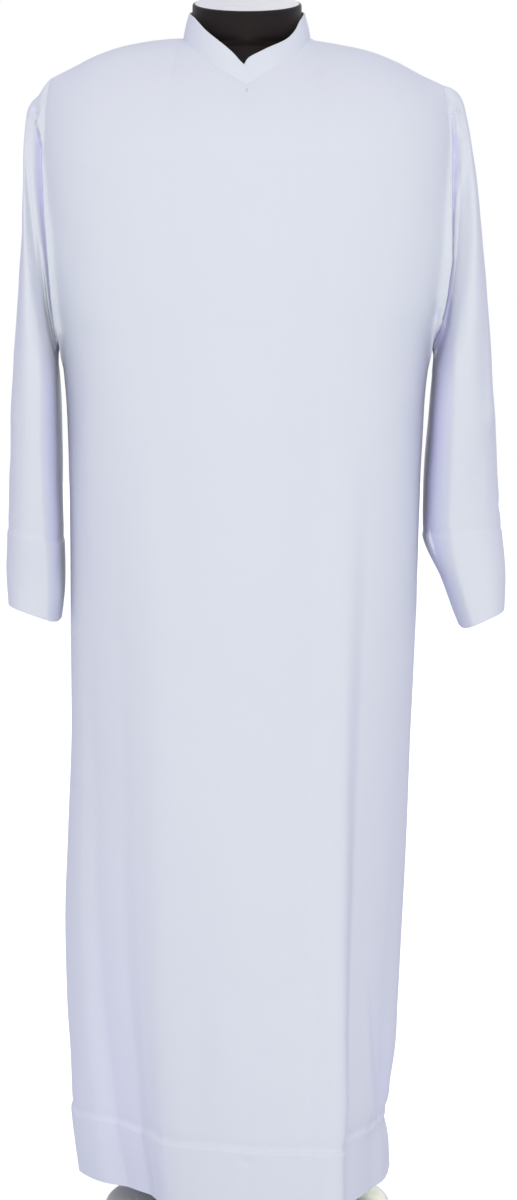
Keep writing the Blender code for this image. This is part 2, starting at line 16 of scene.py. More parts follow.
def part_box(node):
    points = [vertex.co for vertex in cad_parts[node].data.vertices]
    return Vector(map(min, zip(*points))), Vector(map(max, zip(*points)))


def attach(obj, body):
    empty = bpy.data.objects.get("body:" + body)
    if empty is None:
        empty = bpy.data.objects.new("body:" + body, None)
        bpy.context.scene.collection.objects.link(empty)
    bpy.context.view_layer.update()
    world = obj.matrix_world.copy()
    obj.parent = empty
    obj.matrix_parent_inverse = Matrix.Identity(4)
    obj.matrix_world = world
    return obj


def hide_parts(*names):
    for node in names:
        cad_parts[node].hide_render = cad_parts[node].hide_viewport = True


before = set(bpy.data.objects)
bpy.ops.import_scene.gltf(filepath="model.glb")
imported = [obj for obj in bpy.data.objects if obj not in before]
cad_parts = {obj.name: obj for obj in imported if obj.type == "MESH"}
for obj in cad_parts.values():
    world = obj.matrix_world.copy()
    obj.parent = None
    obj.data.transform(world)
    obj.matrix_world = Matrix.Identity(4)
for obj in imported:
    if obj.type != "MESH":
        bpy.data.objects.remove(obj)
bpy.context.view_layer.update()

FRONT = -1
BACK = 1
LEFT = -1
RIGHT = 1
MILLIMETRE = 0.001

# %% [markdown]
# The camera stands where the photographer stood: 3.2 m in front, at chest height, looking slightly
# down. A long lens keeps the tall, narrow shape free of distortion. In a tall picture Blender measures
# the sensor along the height, so the lens is chosen against 36 mm of height.

# %% Camera
CAMERA_PLACE = (0.014, -3.2, 1.015)
CAMERA_TILT = -4.35
CAMERA_LENS = 77.4

camera_data = bpy.data.cameras.new("photo_camera")
camera_data.lens = CAMERA_LENS
camera_data.sensor_width = 36.0
camera = bpy.data.objects.new("photo_camera", camera_data)
camera.location = CAMERA_PLACE
camera.rotation_euler = (math.radians(90 + CAMERA_TILT), 0.0, 0.0)
bpy.context.collection.objects.link(camera)
bpy.context.scene.camera = camera
print("camera at", CAMERA_PLACE, "lens", CAMERA_LENS)

# %% [markdown]
# White cloth before a white background is a matter of light alone. A large warm lamp in front lights
# what faces the viewer, and a cool sky fills what turns away, so that folds read as pale lavender. The
# sky shows as plain white behind the part. The Standard view keeps whites as they are set.

# %% Lamps and sky
KEY_COLOUR = (0.94, 0.98, 0.66)
LAMP_SIZE = 1.6
LAMP_TARGET = (0.0, 0.0, 0.85)
LAMPS = (("front_lamp", (0.15, -6.0, 3.0), 126.0), ("back_lamp", (0.9, 5.8, 3.0), 106.0))
SKY_FILL = (0.645, 0.64, 0.76)
SKY_SEEN = (1.0, 1.0, 1.0)

bpy.context.scene.view_settings.view_transform = "Standard"


def hang_lamp(name, place, power):
    data = bpy.data.lights.new(name, "AREA")
    data.shape = "SQUARE"
    data.size = LAMP_SIZE
    data.energy = power
    data.color = KEY_COLOUR
    lamp = bpy.data.objects.new(name, data)
    lamp.location = place
    aim = Vector(LAMP_TARGET) - Vector(place)
    lamp.rotation_euler = aim.to_track_quat("-Z", "Y").to_euler()
    bpy.context.collection.objects.link(lamp)


def build_sky():
    """Cool light on the part, and plain white where the camera looks past it."""
    sky = bpy.data.worlds.new("studio_sky")
    sky.use_nodes = True
    tree = sky.node_tree
    tree.nodes.clear()
    out = tree.nodes.new("ShaderNodeOutputWorld")
    mix = tree.nodes.new("ShaderNodeMixShader")
    path = tree.nodes.new("ShaderNodeLightPath")
    tree.links.new(path.outputs["Is Camera Ray"], mix.inputs[0])
    for slot, colour in ((1, SKY_FILL), (2, SKY_SEEN)):
        background = tree.nodes.new("ShaderNodeBackground")
        background.inputs["Color"].default_value = (*colour, 1.0)
        tree.links.new(background.outputs[0], mix.inputs[slot])
    tree.links.new(mix.outputs[0], out.inputs["Surface"])
    bpy.context.scene.world = sky


for lamp_name, lamp_place, lamp_power in LAMPS:
    hang_lamp(lamp_name, lamp_place, lamp_power)
build_sky()
print("light:", len(LAMPS), "soft lamps and a pale sky")

# %% [markdown]
# The floor is plain and pale, wide enough to reach the horizon. A faint glow that only the camera sees
# lifts it to the white of the sky, so that no line shows where the two meet, and the soft shadow under
# the stand stays. A floor of pure white would throw too much light up under the hem.

# %% Floor
FLOOR_SIZE = 60.0
FLOOR_COLOUR = (0.77, 0.80, 0.86)
FLOOR_GLOW = 0.7


def build_floor():
    """A wide floor that glows faintly to the camera alone, so that it fades into the white behind."""
    data = bpy.data.meshes.new("studio_floor")
    half = FLOOR_SIZE / 2
    corners = [(-half, -half, 0), (half, -half, 0), (half, half, 0), (-half, half, 0)]
    data.from_pydata(corners, [], [(0, 1, 2, 3)])
    material = bpy.data.materials.new("studio_floor")
    material.use_nodes = True
    tree = material.node_tree
    shader = tree.nodes["Principled BSDF"]
    shader.inputs["Base Color"].default_value = (*FLOOR_COLOUR, 1.0)
    shader.inputs["Roughness"].default_value = 0.9
    shader.inputs["Emission Color"].default_value = (1.0, 0.99, 0.97, 1.0)
    path = tree.nodes.new("ShaderNodeLightPath")
    glow = tree.nodes.new("ShaderNodeMath")
    glow.operation = "MULTIPLY"
    glow.inputs[1].default_value = FLOOR_GLOW
    tree.links.new(path.outputs["Is Camera Ray"], glow.inputs[0])
    tree.links.new(glow.outputs[0], shader.inputs["Emission Strength"])
    data.materials.append(material)
    floor = bpy.data.objects.new("studio_floor", data)
    bpy.context.collection.objects.link(floor)


build_floor()
print("floor", FLOOR_SIZE, "m wide")

# %% [markdown]
# Finishes share small effects. A weave, a knit and a fall of dust are each built once as a shader node
# group, with named inputs, and placed in the materials that need them; a soft mottling is a single noise
# node, made by a helper. A group gives only heights and masks. The shader that uses them stays in the
# material.

# %% Node helpers
def new_group(name, inputs, outputs):
    """A shader node group with number sockets, and its input and output nodes."""
    group = bpy.data.node_groups.new(name, "ShaderNodeTree")
    for label, value in inputs:
        socket = group.interface.new_socket(label, in_out="INPUT", socket_type="NodeSocketFloat")
        socket.default_value = value
    group.interface.new_socket("Place", in_out="INPUT", socket_type="NodeSocketVector")
    for label in outputs:
        group.interface.new_socket(label, in_out="OUTPUT", socket_type="NodeSocketFloat")
    start = group.nodes.new("NodeGroupInput")
    end = group.nodes.new("NodeGroupOutput")
    return group, start, end


def calculate(tree, operation, first, second=None, third=None):
    """A Math node; each argument is a number or a socket."""
    node = tree.nodes.new("ShaderNodeMath")
    node.operation = operation
    for slot, value in enumerate((first, second, third)):
        if value is None:
            continue
        if isinstance(value, (int, float)):
            node.inputs[slot].default_value = value
        else:
            tree.links.new(value, node.inputs[slot])
    return node.outputs[0]


def mottle(tree, place, scale, detail=3.0, roughness=0.5):
    """A Noise node's value at a place."""
    node = tree.nodes.new("ShaderNodeTexNoise")
    node.inputs["Detail"].default_value = detail
    node.inputs["Roughness"].default_value = roughness
    if isinstance(scale, (int, float)):
        node.inputs["Scale"].default_value = scale
    else:
        tree.links.new(scale, node.inputs["Scale"])
    tree.links.new(place, node.inputs["Vector"])
    return node.outputs["Fac"]


def use_group(tree, group, place, **values):
    """Places a group in a material, with its numbers by name; underscores stand for spaces."""
    node = tree.nodes.new("ShaderNodeGroup")
    node.node_tree = group
    tree.links.new(place, node.inputs["Place"])
    for label, value in values.items():
        node.inputs[label.replace("_", " ")].default_value = value
    return node


def blend_colour(tree, factor, first, second):
    node = tree.nodes.new("ShaderNodeMix")
    node.data_type = "RGBA"
    tree.links.new(factor, node.inputs[0])
    node.inputs[6].default_value = (*first, 1.0)
    node.inputs[7].default_value = (*second, 1.0)
    return node.outputs[2]


def spread(tree, value, low, high):
    """Stretches a value from 0..1 to low..high."""
    node = tree.nodes.new("ShaderNodeMapRange")
    tree.links.new(value, node.inputs["Value"])
    node.inputs["To Min"].default_value = low
    node.inputs["To Max"].default_value = high
    return node.outputs["Result"]


def new_material(name, roughness, **constants):
    """A material with a Principled shader; constants set its own sockets, underscores for spaces."""
    material = bpy.data.materials.new(name)
    material.use_nodes = True
    shader = material.node_tree.nodes["Principled BSDF"]
    shader.inputs["Roughness"].default_value = roughness
    for label, value in constants.items():
        shader.inputs[label.replace("_", " ")].default_value = value
    return material, material.node_tree, shader


def add_bump(tree, shader, height, strength, distance):
    node = tree.nodes.new("ShaderNodeBump")
    node.inputs["Strength"].default_value = strength
    node.inputs["Distance"].default_value = distance
    tree.links.new(height, node.inputs["Height"])
    tree.links.new(node.outputs["Normal"], shader.inputs["Normal"])


print("node helpers ready")

# %% [markdown]
# The alb's cloth is a fine plain weave: each thread passes over one and under the next. Two sine waves,
# one along each thread direction, multiplied, give that chequer of bumps, and noise drawn out along the
# threads makes some of them a little thicker. The pattern follows the cloth's own UV map, which is in
# metres, so the threads run true down every panel and sleeve.

# %% Weave
def drawn_out_noise(tree, place, stretch):
    """Noise drawn out along one direction of the cloth."""
    scaled = tree.nodes.new("ShaderNodeVectorMath")
    scaled.operation = "MULTIPLY"
    scaled.inputs[1].default_value = stretch
    tree.links.new(place, scaled.inputs[0])
    return mottle(tree, scaled.outputs[0], 1.0, 2.0)


def build_weave():
    inputs = [("Thread Pitch", 0.0005), ("Unevenness", 0.3)]
    group, start, end = new_group("plain_weave", inputs, ["Height", "Slub"])
    place = start.outputs["Place"]
    split = group.nodes.new("ShaderNodeSeparateXYZ")
    group.links.new(place, split.inputs[0])
    turns = calculate(group, "DIVIDE", math.pi, start.outputs["Thread Pitch"])
    warp = calculate(group, "SINE", calculate(group, "MULTIPLY", split.outputs["X"], turns))
    weft = calculate(group, "SINE", calculate(group, "MULTIPLY", split.outputs["Y"], turns))
    chequer = calculate(group, "MULTIPLY_ADD", calculate(group, "MULTIPLY", warp, weft), 0.5, 0.5)
    long_slub = drawn_out_noise(group, place, (900.0, 14.0, 1.0))
    cross_slub = drawn_out_noise(group, place, (14.0, 900.0, 1.0))
    slub = calculate(group, "MULTIPLY", calculate(group, "ADD", long_slub, cross_slub), 0.5)
    raised = calculate(group, "MULTIPLY_ADD", slub, start.outputs["Unevenness"], chequer)
    group.links.new(raised, end.inputs["Height"])
    group.links.new(slub, end.inputs["Slub"])
    return group


WEAVE = build_weave()
print("group", WEAVE.name)

# %% [markdown]
# The form's jersey is knitted, so its relief is made of ribs with a row of loops along each. Dust falls
# from above: it is noise, weighted by how far a surface faces up, and the stand and the neck share it.

# %% Knit and dust
def build_knit():
    group, start, end = new_group("fine_knit", [("Stitch Width", 0.0009)], ["Height"])
    split = group.nodes.new("ShaderNodeSeparateXYZ")
    group.links.new(start.outputs["Place"], split.inputs[0])
    turns = calculate(group, "DIVIDE", 2 * math.pi, start.outputs["Stitch Width"])
    wave = calculate(group, "SINE", calculate(group, "MULTIPLY", split.outputs["X"], turns))
    rib = calculate(group, "ABSOLUTE", wave)
    row = calculate(group, "MULTIPLY_ADD", split.outputs["Y"], 1.3, calculate(group, "MULTIPLY", rib, 0.0004))
    loop = calculate(group, "SINE", calculate(group, "MULTIPLY", row, turns))
    height = calculate(group, "MULTIPLY_ADD", loop, 0.3, calculate(group, "MULTIPLY", rib, 0.7))
    group.links.new(height, end.inputs["Height"])
    return group


def build_dust():
    group, start, end = new_group("settled_dust", [("Grain", 60.0), ("Amount", 0.3)], ["Dust"])
    geometry = group.nodes.new("ShaderNodeNewGeometry")
    split = group.nodes.new("ShaderNodeSeparateXYZ")
    group.links.new(geometry.outputs["Normal"], split.inputs[0])
    upward = calculate(group, "MAXIMUM", split.outputs["Z"], 0.0)
    patches = mottle(group, start.outputs["Place"], start.outputs["Grain"], 4.0, 0.6)
    settled = calculate(group, "MULTIPLY", upward, patches)
    dust = calculate(group, "MULTIPLY", settled, start.outputs["Amount"])
    group.links.new(dust, end.inputs["Dust"])
    return group


KNIT = build_knit()
DUST = build_dust()
print("groups", KNIT.name, "and", DUST.name)

# %% [markdown]
# White is never one colour. The cloth's white drifts slightly, and its roughness drifts with it. Deep in a
# trough the colour is painted towards lavender, a painted shade for the crease: each piece carries an
# attribute that says how deep its cloth lies there. A low sheen, set on the shader itself, gives the pale
# rim that fine fibres show at a glancing angle. The collar is pressed, so it is a little smoother.

# %% Cloth materials
CLOTH_WHITE = (0.770, 0.785, 0.860)
CLOTH_COOL = (0.752, 0.768, 0.852)
# The lavender that deep creases are painted towards, as painted shade.
CLOTH_PAINTED_FOLD_SHADE = (0.770, 0.755, 0.990)


def build_cloth_material(name, roughness, relief):
    material, tree, shader = new_material(
        name, roughness, Sheen_Weight=0.08, Sheen_Roughness=0.5, Specular_IOR_Level=0.2
    )
    threads = tree.nodes.new("ShaderNodeUVMap")
    threads.uv_map = "threads"
    places = tree.nodes.new("ShaderNodeTexCoord")
    weave = use_group(tree, WEAVE, threads.outputs[0], Thread_Pitch=0.00045, Unevenness=0.35)
    drift = mottle(tree, places.outputs["Object"], 5.0, 4.0, 0.55)
    slow = calculate(tree, "MULTIPLY", drift, 0.65)
    shade = calculate(tree, "MULTIPLY_ADD", weave.outputs["Slub"], 0.35, slow)
    # Painted shade: deep in the creases the base colour is mixed towards a lavender that stands in for their
    # shade.
    fold_shade = tree.nodes.new("ShaderNodeAttribute")
    fold_shade.attribute_name = "painted_fold_shade"
    shade_painted_colour = blend_colour(tree, fold_shade.outputs["Fac"], CLOTH_WHITE, CLOTH_PAINTED_FOLD_SHADE)
    plain = shade_painted_colour.node.inputs[6]
    tree.links.new(blend_colour(tree, shade, CLOTH_WHITE, CLOTH_COOL), plain)
    tree.links.new(shade_painted_colour, shader.inputs["Base Color"])
    tree.links.new(spread(tree, drift, roughness - 0.05, roughness + 0.06), shader.inputs["Roughness"])
    add_bump(tree, shader, weave.outputs["Height"], relief, 0.00012)
    return material


ALB_CLOTH = build_cloth_material("white_alb_cloth", 0.80, 0.35)
COLLAR_CLOTH = build_cloth_material("pressed_collar_cloth", 0.74, 0.25)


def build_thread_material(name, light, dark):
    material, tree, shader = new_material(name, 0.55, Sheen_Weight=0.1, Specular_IOR_Level=0.3)
    places = tree.nodes.new("ShaderNodeTexCoord")
    twist = mottle(tree, places.outputs["Object"], 900.0, 2.0)
    tree.links.new(blend_colour(tree, twist, light, dark), shader.inputs["Base Color"])
    add_bump(tree, shader, twist, 0.3, 0.0001)
    return material


THREAD = build_thread_material("white_sewing_thread", (0.77, 0.79, 0.90), (0.68, 0.70, 0.84))
TACK_THREAD = build_thread_material("grey_tack_thread", (0.60, 0.62, 0.68), (0.48, 0.50, 0.57))
print("cloth materials:", ALB_CLOTH.name, COLLAR_CLOTH.name, THREAD.name)

# %% [markdown]
# The dress form wears a near-black jersey, so fine that its knit only shows close by. Its neck cap and
# the stand under it are painted white, so that neither draws the eye. Paint dries with a slight orange
# peel, and a little dust settles where it faces up.

# %% Form and stand materials
JERSEY_DARK = (0.0090, 0.0052, 0.0056)
JERSEY_LIGHT = (0.020, 0.0105, 0.0110)
PAINT_WHITE = (0.93, 0.93, 0.93)
DUST_GREY = (0.60, 0.58, 0.56)


def build_form_material():
    material, tree, shader = new_material(
        "black_form_jersey", 0.72, Sheen_Weight=0.2, Sheen_Roughness=0.4, Specular_IOR_Level=0.25
    )
    wales = tree.nodes.new("ShaderNodeUVMap")
    wales.uv_map = "threads"
    places = tree.nodes.new("ShaderNodeTexCoord")
    knit = use_group(tree, KNIT, wales.outputs[0], Stitch_Width=0.0009)
    drift = mottle(tree, places.outputs["Object"], 9.0, 4.0)
    dust = use_group(tree, DUST, places.outputs["Object"], Grain=70.0, Amount=0.06)
    shade = calculate(tree, "ADD", calculate(tree, "MULTIPLY", drift, 0.8), dust.outputs["Dust"])
    tree.links.new(blend_colour(tree, shade, JERSEY_DARK, JERSEY_LIGHT), shader.inputs["Base Color"])
    tree.links.new(spread(tree, drift, 0.62, 0.80), shader.inputs["Roughness"])
    add_bump(tree, shader, knit.outputs["Height"], 0.4, 0.00015)
    return material


def build_stand_material():
    material, tree, shader = new_material("white_stand_paint", 0.38, Metallic=0.0, Specular_IOR_Level=0.5)
    places = tree.nodes.new("ShaderNodeTexCoord")
    peel = mottle(tree, places.outputs["Object"], 240.0, 2.0)
    drift = mottle(tree, places.outputs["Object"], 22.0, 4.0)
    dust = use_group(tree, DUST, places.outputs["Object"], Grain=45.0, Amount=0.30)
    dusty = dust.outputs["Dust"]
    tree.links.new(blend_colour(tree, dusty, PAINT_WHITE, DUST_GREY), shader.inputs["Base Color"])
    dull = calculate(tree, "ADD", spread(tree, drift, 0.30, 0.46), calculate(tree, "MULTIPLY", dusty, 0.6))
    tree.links.new(dull, shader.inputs["Roughness"])
    add_bump(tree, shader, peel, 0.15, 0.0002)
    return material


FORM_JERSEY = build_form_material()
STAND_PAINT = build_stand_material()
print("hard materials:", FORM_JERSEY.name, STAND_PAINT.name)

# %% [markdown]
# The cloth's shape comes from short tables, the same ones that shape the solids. The first gives half
# widths and depths of level rings round the body, from the hem up to the chest, and how square each is.
# The second gives the line of the shoulders. All sizes are in metres.

# %% Tables of the body
HEM_HEIGHT = 0.048
CHEST_HEIGHT = 1.300
ARMPIT_HEIGHT = 1.088
ARMHOLE_DEPTH = 0.036
NECKLINE_SIDE = 0.078
NECKLINE_FRONT = 0.094
NECKLINE_BACK = 0.074
YOKE_NECK_ANGLE = 18.0
YOKE_FRONT_TURN = 45.0
YOKE_ROUNDNESS = 1.25
FOLD_GROWTH = 1.25
HALVINGS = 40

BodyRow = namedtuple("BodyRow", "height left right front back square")
BODY_ROWS = (
    BodyRow(0.048, 0.212, 0.177, 0.192, 0.190, 2.20),
    BodyRow(0.110, 0.219, 0.174, 0.190, 0.189, 2.20),
    BodyRow(0.150, 0.221, 0.182, 0.189, 0.187, 2.20),
    BodyRow(0.250, 0.226, 0.188, 0.185, 0.182, 2.20),
    BodyRow(0.370, 0.2285, 0.194, 0.180, 0.177, 2.20),
    BodyRow(0.480, 0.2245, 0.199, 0.175, 0.172, 2.25),
    BodyRow(0.632, 0.219, 0.204, 0.168, 0.164, 2.30),
    BodyRow(0.860, 0.219, 0.212, 0.160, 0.152, 2.40),
    BodyRow(1.000, 0.222, 0.216, 0.155, 0.146, 2.45),
    BodyRow(1.088, 0.229, 0.226, 0.151, 0.142, 2.50),
    BodyRow(1.140, 0.236, 0.239, 0.149, 0.140, 2.60),
    BodyRow(1.200, 0.242, 0.246, 0.146, 0.137, 2.65),
    BodyRow(1.300, 0.249, 0.249, 0.140, 0.132, 2.70),
)

ShoulderRow = namedtuple("ShoulderRow", "distance left right")
SHOULDER_ROWS = (
    ShoulderRow(0.078, 1.4605, 1.4585),
    ShoulderRow(0.100, 1.4590, 1.4550),
    ShoulderRow(0.145, 1.4520, 1.4460),
    ShoulderRow(0.180, 1.4410, 1.4330),
    ShoulderRow(0.215, 1.4240, 1.4150),
    ShoulderRow(0.240, 1.4120, 1.4040),
)

print("tables:", len(BODY_ROWS), "body rings,", len(SHOULDER_ROWS), "shoulder places")

# %% [markdown]
# The skirt hangs in long folds that open towards the hem. Each row here is one place round the body: its
# angle from the middle, how far the cloth stands out there at the hem, and the height where that starts.
# The steep change at 30 and 39 degrees on the front is the pleat. A smooth curve through each column
# fills in between, with no overshoot, so the fine surface can have as many columns as it needs.

# %% Folds of the skirt
FoldRow = namedtuple("FoldRow", "angle reach start")
FRONT_FOLDS = (
    FoldRow(-90.0, 0.000, 0.90),
    FoldRow(-74.0, -0.026, 0.92),
    FoldRow(-62.0, -0.050, 0.98),
    FoldRow(-46.0, -0.054, 1.02),
    FoldRow(-36.0, -0.042, 1.00),
    FoldRow(-27.0, -0.027, 0.96),
    FoldRow(-12.0, -0.015, 0.90),
    FoldRow(6.0, 0.006, 0.90),
    FoldRow(19.0, 0.018, 0.94),
    FoldRow(30.0, 0.038, 1.00),
    FoldRow(39.0, -0.004, 1.00),
    FoldRow(50.0, -0.010, 0.96),
    FoldRow(66.0, -0.012, 0.90),
    FoldRow(80.0, -0.004, 0.86),
    FoldRow(90.0, 0.000, 0.90),
)
BACK_FOLDS = (
    FoldRow(-90.0, 0.000, 0.90),
    FoldRow(-76.0, 0.006, 0.86),
    FoldRow(-62.0, -0.020, 1.02),
    FoldRow(-47.0, 0.016, 1.02),
    FoldRow(-33.0, -0.022, 1.06),
    FoldRow(-17.0, 0.014, 1.00),
    FoldRow(2.0, -0.012, 0.90),
    FoldRow(20.0, 0.018, 1.04),
    FoldRow(37.0, -0.020, 1.06),
    FoldRow(52.0, 0.012, 0.96),
    FoldRow(66.0, -0.016, 0.98),
    FoldRow(79.0, 0.004, 0.84),
    FoldRow(90.0, 0.000, 0.90),
)


def read_curve(rows, column, at):
    """A column's values at places along its rows' first column, on a smooth curve with no overshoot."""
    knots = np.array([row[0] for row in rows], float)
    values = np.array([getattr(row, column) for row in rows], float)
    steps = np.diff(knots)
    slopes = np.diff(values) / steps
    same_way = slopes[:-1] * slopes[1:] > 0
    before = 2 * steps[1:] + steps[:-1]
    after = steps[1:] + 2 * steps[:-1]
    first = np.where(same_way, slopes[:-1], 1.0)
    second = np.where(same_way, slopes[1:], 1.0)
    turning = np.where(same_way, (before + after) / (before / first + after / second), 0.0)
    tangents = np.concatenate([slopes[:1], turning, slopes[-1:]])
    at = np.clip(np.asarray(at, float), knots[0], knots[-1])
    i = np.clip(np.searchsorted(knots, at) - 1, 0, len(steps) - 1)
    share = (at - knots[i]) / steps[i]
    rest = 1 - share
    return (
        values[i] * rest * rest * (1 + 2 * share)
        + values[i + 1] * share * share * (1 + 2 * rest)
        + steps[i] * share * rest * (tangents[i] * rest - tangents[i + 1] * share)
    )


print("folds:", len(FRONT_FOLDS), "places in front,", len(BACK_FOLDS), "behind")

# %% [markdown]
# A body ring is a superellipse, an ellipse with slightly square shoulders, pushed out or in by the
# folds. Working on whole rows of points at once with numpy keeps this quick for tens of thousands of
# points.

# %% Body rings
def smooth_step(low, high, value):
    share = np.clip((value - low) / (high - low), 0.0, 1.0)
    return share * share * (3 - 2 * share)


def unit_rows(vectors):
    lengths = np.linalg.norm(vectors, axis=-1, keepdims=True)
    return vectors / np.maximum(lengths, 1e-9)


def fold_reach(angles, facing, height):
    """How far the folds carry the cloth out from the plain ring; each grows from its start to the hem."""
    rows = []
    for row in FRONT_FOLDS if facing == FRONT else BACK_FOLDS:
        grown = max(0.0, (row.start - height) / (row.start - HEM_HEIGHT)) ** FOLD_GROWTH
        rows.append(FoldRow(row.angle, row.reach * grown, row.start))
    return read_curve(rows, "reach", angles)


def body_points(angles, facing, height):
    """The body's outer face at angles from the middle line, at one height."""
    sides = np.where(angles < 0, LEFT, RIGHT)
    left = read_curve(BODY_ROWS, "left", height)
    right = read_curve(BODY_ROWS, "right", height)
    half_width = np.where(angles < 0, left, right)
    depth = read_curve(BODY_ROWS, "front" if facing == FRONT else "back", height)
    square = read_curve(BODY_ROWS, "square", height)
    across = np.abs(np.sin(np.radians(angles))) ** (2 / square)
    along = np.maximum(np.cos(np.radians(angles)), 0.0) ** (2 / square)
    level = np.zeros(len(angles))
    steep = square - 1
    out = unit_rows(np.stack([sides * across**steep / half_width, facing * along**steep / depth, level], 1))
    plain = np.stack([sides * across * half_width, facing * along * depth, level + height], 1)
    return plain + out * fold_reach(angles, facing, height)[:, None]


def shoulder_height(distance, side):
    return read_curve(SHOULDER_ROWS, "left" if side == LEFT else "right", distance)


def armhole_angle(side, facing, height):
    """The outermost angle of a panel at a height: 90 degrees at a side seam, less along the armhole."""
    top = float(shoulder_height(SHOULDER_ROWS[-1].distance, side))
    middle = (top + ARMPIT_HEIGHT) / 2
    share = (height - middle) / (top - middle)
    if abs(share) >= 1:
        return 90.0
    depth = float(read_curve(BODY_ROWS, "front" if facing == FRONT else "back", height))
    square = float(read_curve(BODY_ROWS, "square", height))
    edge = ARMHOLE_DEPTH * math.sqrt(1 - share * share) / depth
    return math.degrees(math.acos(edge ** (square / 2)))


def ring_at(angles, facing, height):
    """A panel's row at one height, from its left edge to its right one."""
    left = armhole_angle(LEFT, facing, height)
    right = armhole_angle(RIGHT, facing, height)
    return body_points(angles * np.where(angles < 0, left, right) / 90, facing, height)


chest_sides = ring_at(np.array([-90.0, 90.0]), FRONT, CHEST_HEIGHT)
print("chest ring is", round(float(np.ptp(chest_sides[:, 0])), 3), "m wide")

# %% [markdown]
# The collar stands round the neck and follows it upwards to the back. Its seam leans outwards, and its
# upper edge ends at the front in a small notch, straight on one side and rounded on the other, because
# the two ends don't lie quite alike.

# %% Neckline and collar edge
COLLAR_SIDE = 0.0708
COLLAR_FRONT = 0.086
COLLAR_BACK = 0.066

CollarRow = namedtuple("CollarRow", "angle base left_top right_top tilt")
COLLAR_ROWS = (
    CollarRow(0.0, 1.394, 1.4185, 1.4185, 21.0),
    CollarRow(3.0, 1.396, 1.4216, 1.4253, 21.6),
    CollarRow(6.0, 1.399, 1.4247, 1.4284, 22.2),
    CollarRow(10.0, 1.402, 1.4292, 1.4316, 23.0),
    CollarRow(22.0, 1.412, 1.4415, 1.4395, 27.0),
    CollarRow(34.0, 1.4210, 1.4525, 1.4460, 31.5),
    CollarRow(45.0, 1.4310, 1.4622, 1.4530, 36.0),
    CollarRow(58.0, 1.4425, 1.4745, 1.4655, 40.8),
    CollarRow(67.0, 1.4500, 1.4815, 1.4770, 44.0),
    CollarRow(90.0, 1.4600, 1.4910, 1.4910, 48.0),
    CollarRow(135.0, 1.468, 1.5010, 1.5010, 40.0),
    CollarRow(180.0, 1.471, 1.5060, 1.5060, 35.0),
)


def neck_points(angles):
    """The neckline seam at angles from the front, with its outward and its upward directions."""
    turn = np.radians(angles)
    bend = np.abs((angles + 180) % 360 - 180)
    reach = np.where(bend < 90, NECKLINE_FRONT, NECKLINE_BACK)
    base = read_curve(COLLAR_ROWS, "base", bend)
    place = np.stack([NECKLINE_SIDE * np.sin(turn), -reach * np.cos(turn), base], 1)
    tilt = np.radians(read_curve(COLLAR_ROWS, "tilt", bend))[:, None]
    flat = unit_rows(np.stack([np.sin(turn) / NECKLINE_SIDE, -np.cos(turn) / reach, 0 * turn], 1))
    upright = np.array([0.0, 0.0, 1.0])
    return place, flat * np.cos(tilt) + upright * np.sin(tilt), upright * np.cos(tilt) - flat * np.sin(tilt)


print("neckline front at height", round(float(neck_points(np.array([0.0]))[0][0, 2]), 3))

# %% [markdown]
# Above the chest a quarter ellipse carries each column up to the neckline or the shoulder seam. It starts
# level at the top and turns down as it comes forward, as cloth does that lies on a shoulder and falls.

# %% Shoulders
def yoke_tops(angles, facing):
    """A panel's upper edge: the neckline near the middle, and the shoulder seam outside it."""
    tops = np.zeros((len(angles), 3))
    quarter = 90 * np.minimum(np.abs(angles) / YOKE_NECK_ANGLE, 1.0)
    round_neck = quarter if facing == FRONT else 180 - quarter
    necks = neck_points(np.where(angles < 0, LEFT, RIGHT) * round_neck)[0]
    shoulder_width = SHOULDER_ROWS[-1].distance - NECKLINE_SIDE
    for side in (LEFT, RIGHT):
        mine = (angles < 0) == (side == LEFT)
        marks = ring_at(np.array([side * YOKE_NECK_ANGLE, side * 90.0]), facing, CHEST_HEIGHT)
        inner, outer = np.abs(marks[:, 0])
        here = np.abs(ring_at(angles, facing, CHEST_HEIGHT)[:, 0])
        distance = NECKLINE_SIDE + shoulder_width * (here - inner) / (outer - inner)
        seam = np.stack([side * distance, 0 * distance, shoulder_height(distance, side)], 1)
        tops[mine] = np.where((np.abs(angles) <= YOKE_NECK_ANGLE)[:, None], necks, seam)[mine]
    return tops


def yoke_rows(angles, facing, shares):
    """Rows over the shoulder: quarter ellipses from the upper edge to the chest ring."""
    tops = yoke_tops(angles, facing)
    chest = ring_at(angles, facing, CHEST_HEIGHT)
    towards_middle = np.cos(np.radians(90 * np.minimum(np.abs(angles) / YOKE_NECK_ANGLE, 1.0)))
    first = np.radians(YOKE_FRONT_TURN * towards_middle)
    started = np.sin(first) ** YOKE_ROUNDNESS
    left_over = np.cos(first) ** YOKE_ROUNDNESS
    rows = []
    for share in shares:
        turn = first + (math.pi / 2 - first) * share
        out = (np.sin(turn) ** YOKE_ROUNDNESS - started) / (1 - started)
        down = 1 - np.maximum(np.cos(turn), 0.0) ** YOKE_ROUNDNESS / left_over
        rows.append(tops + (chest - tops) * np.stack([out, out, down], 1))
    return rows


shoulder_ends = yoke_tops(np.array([-90.0, 90.0]), FRONT)
print("shoulder seams", round(float(np.ptp(shoulder_ends[:, 0])), 3), "m apart at the armholes")

# %% [markdown]
# A panel is a grid of points, from the neck to the hem and from side to side. Its columns are closer
# together at the deep folds and its rows at the stitched hem line, because that is where the surface
# turns fastest. Evenly spaced points would waste faces on the calm middle.

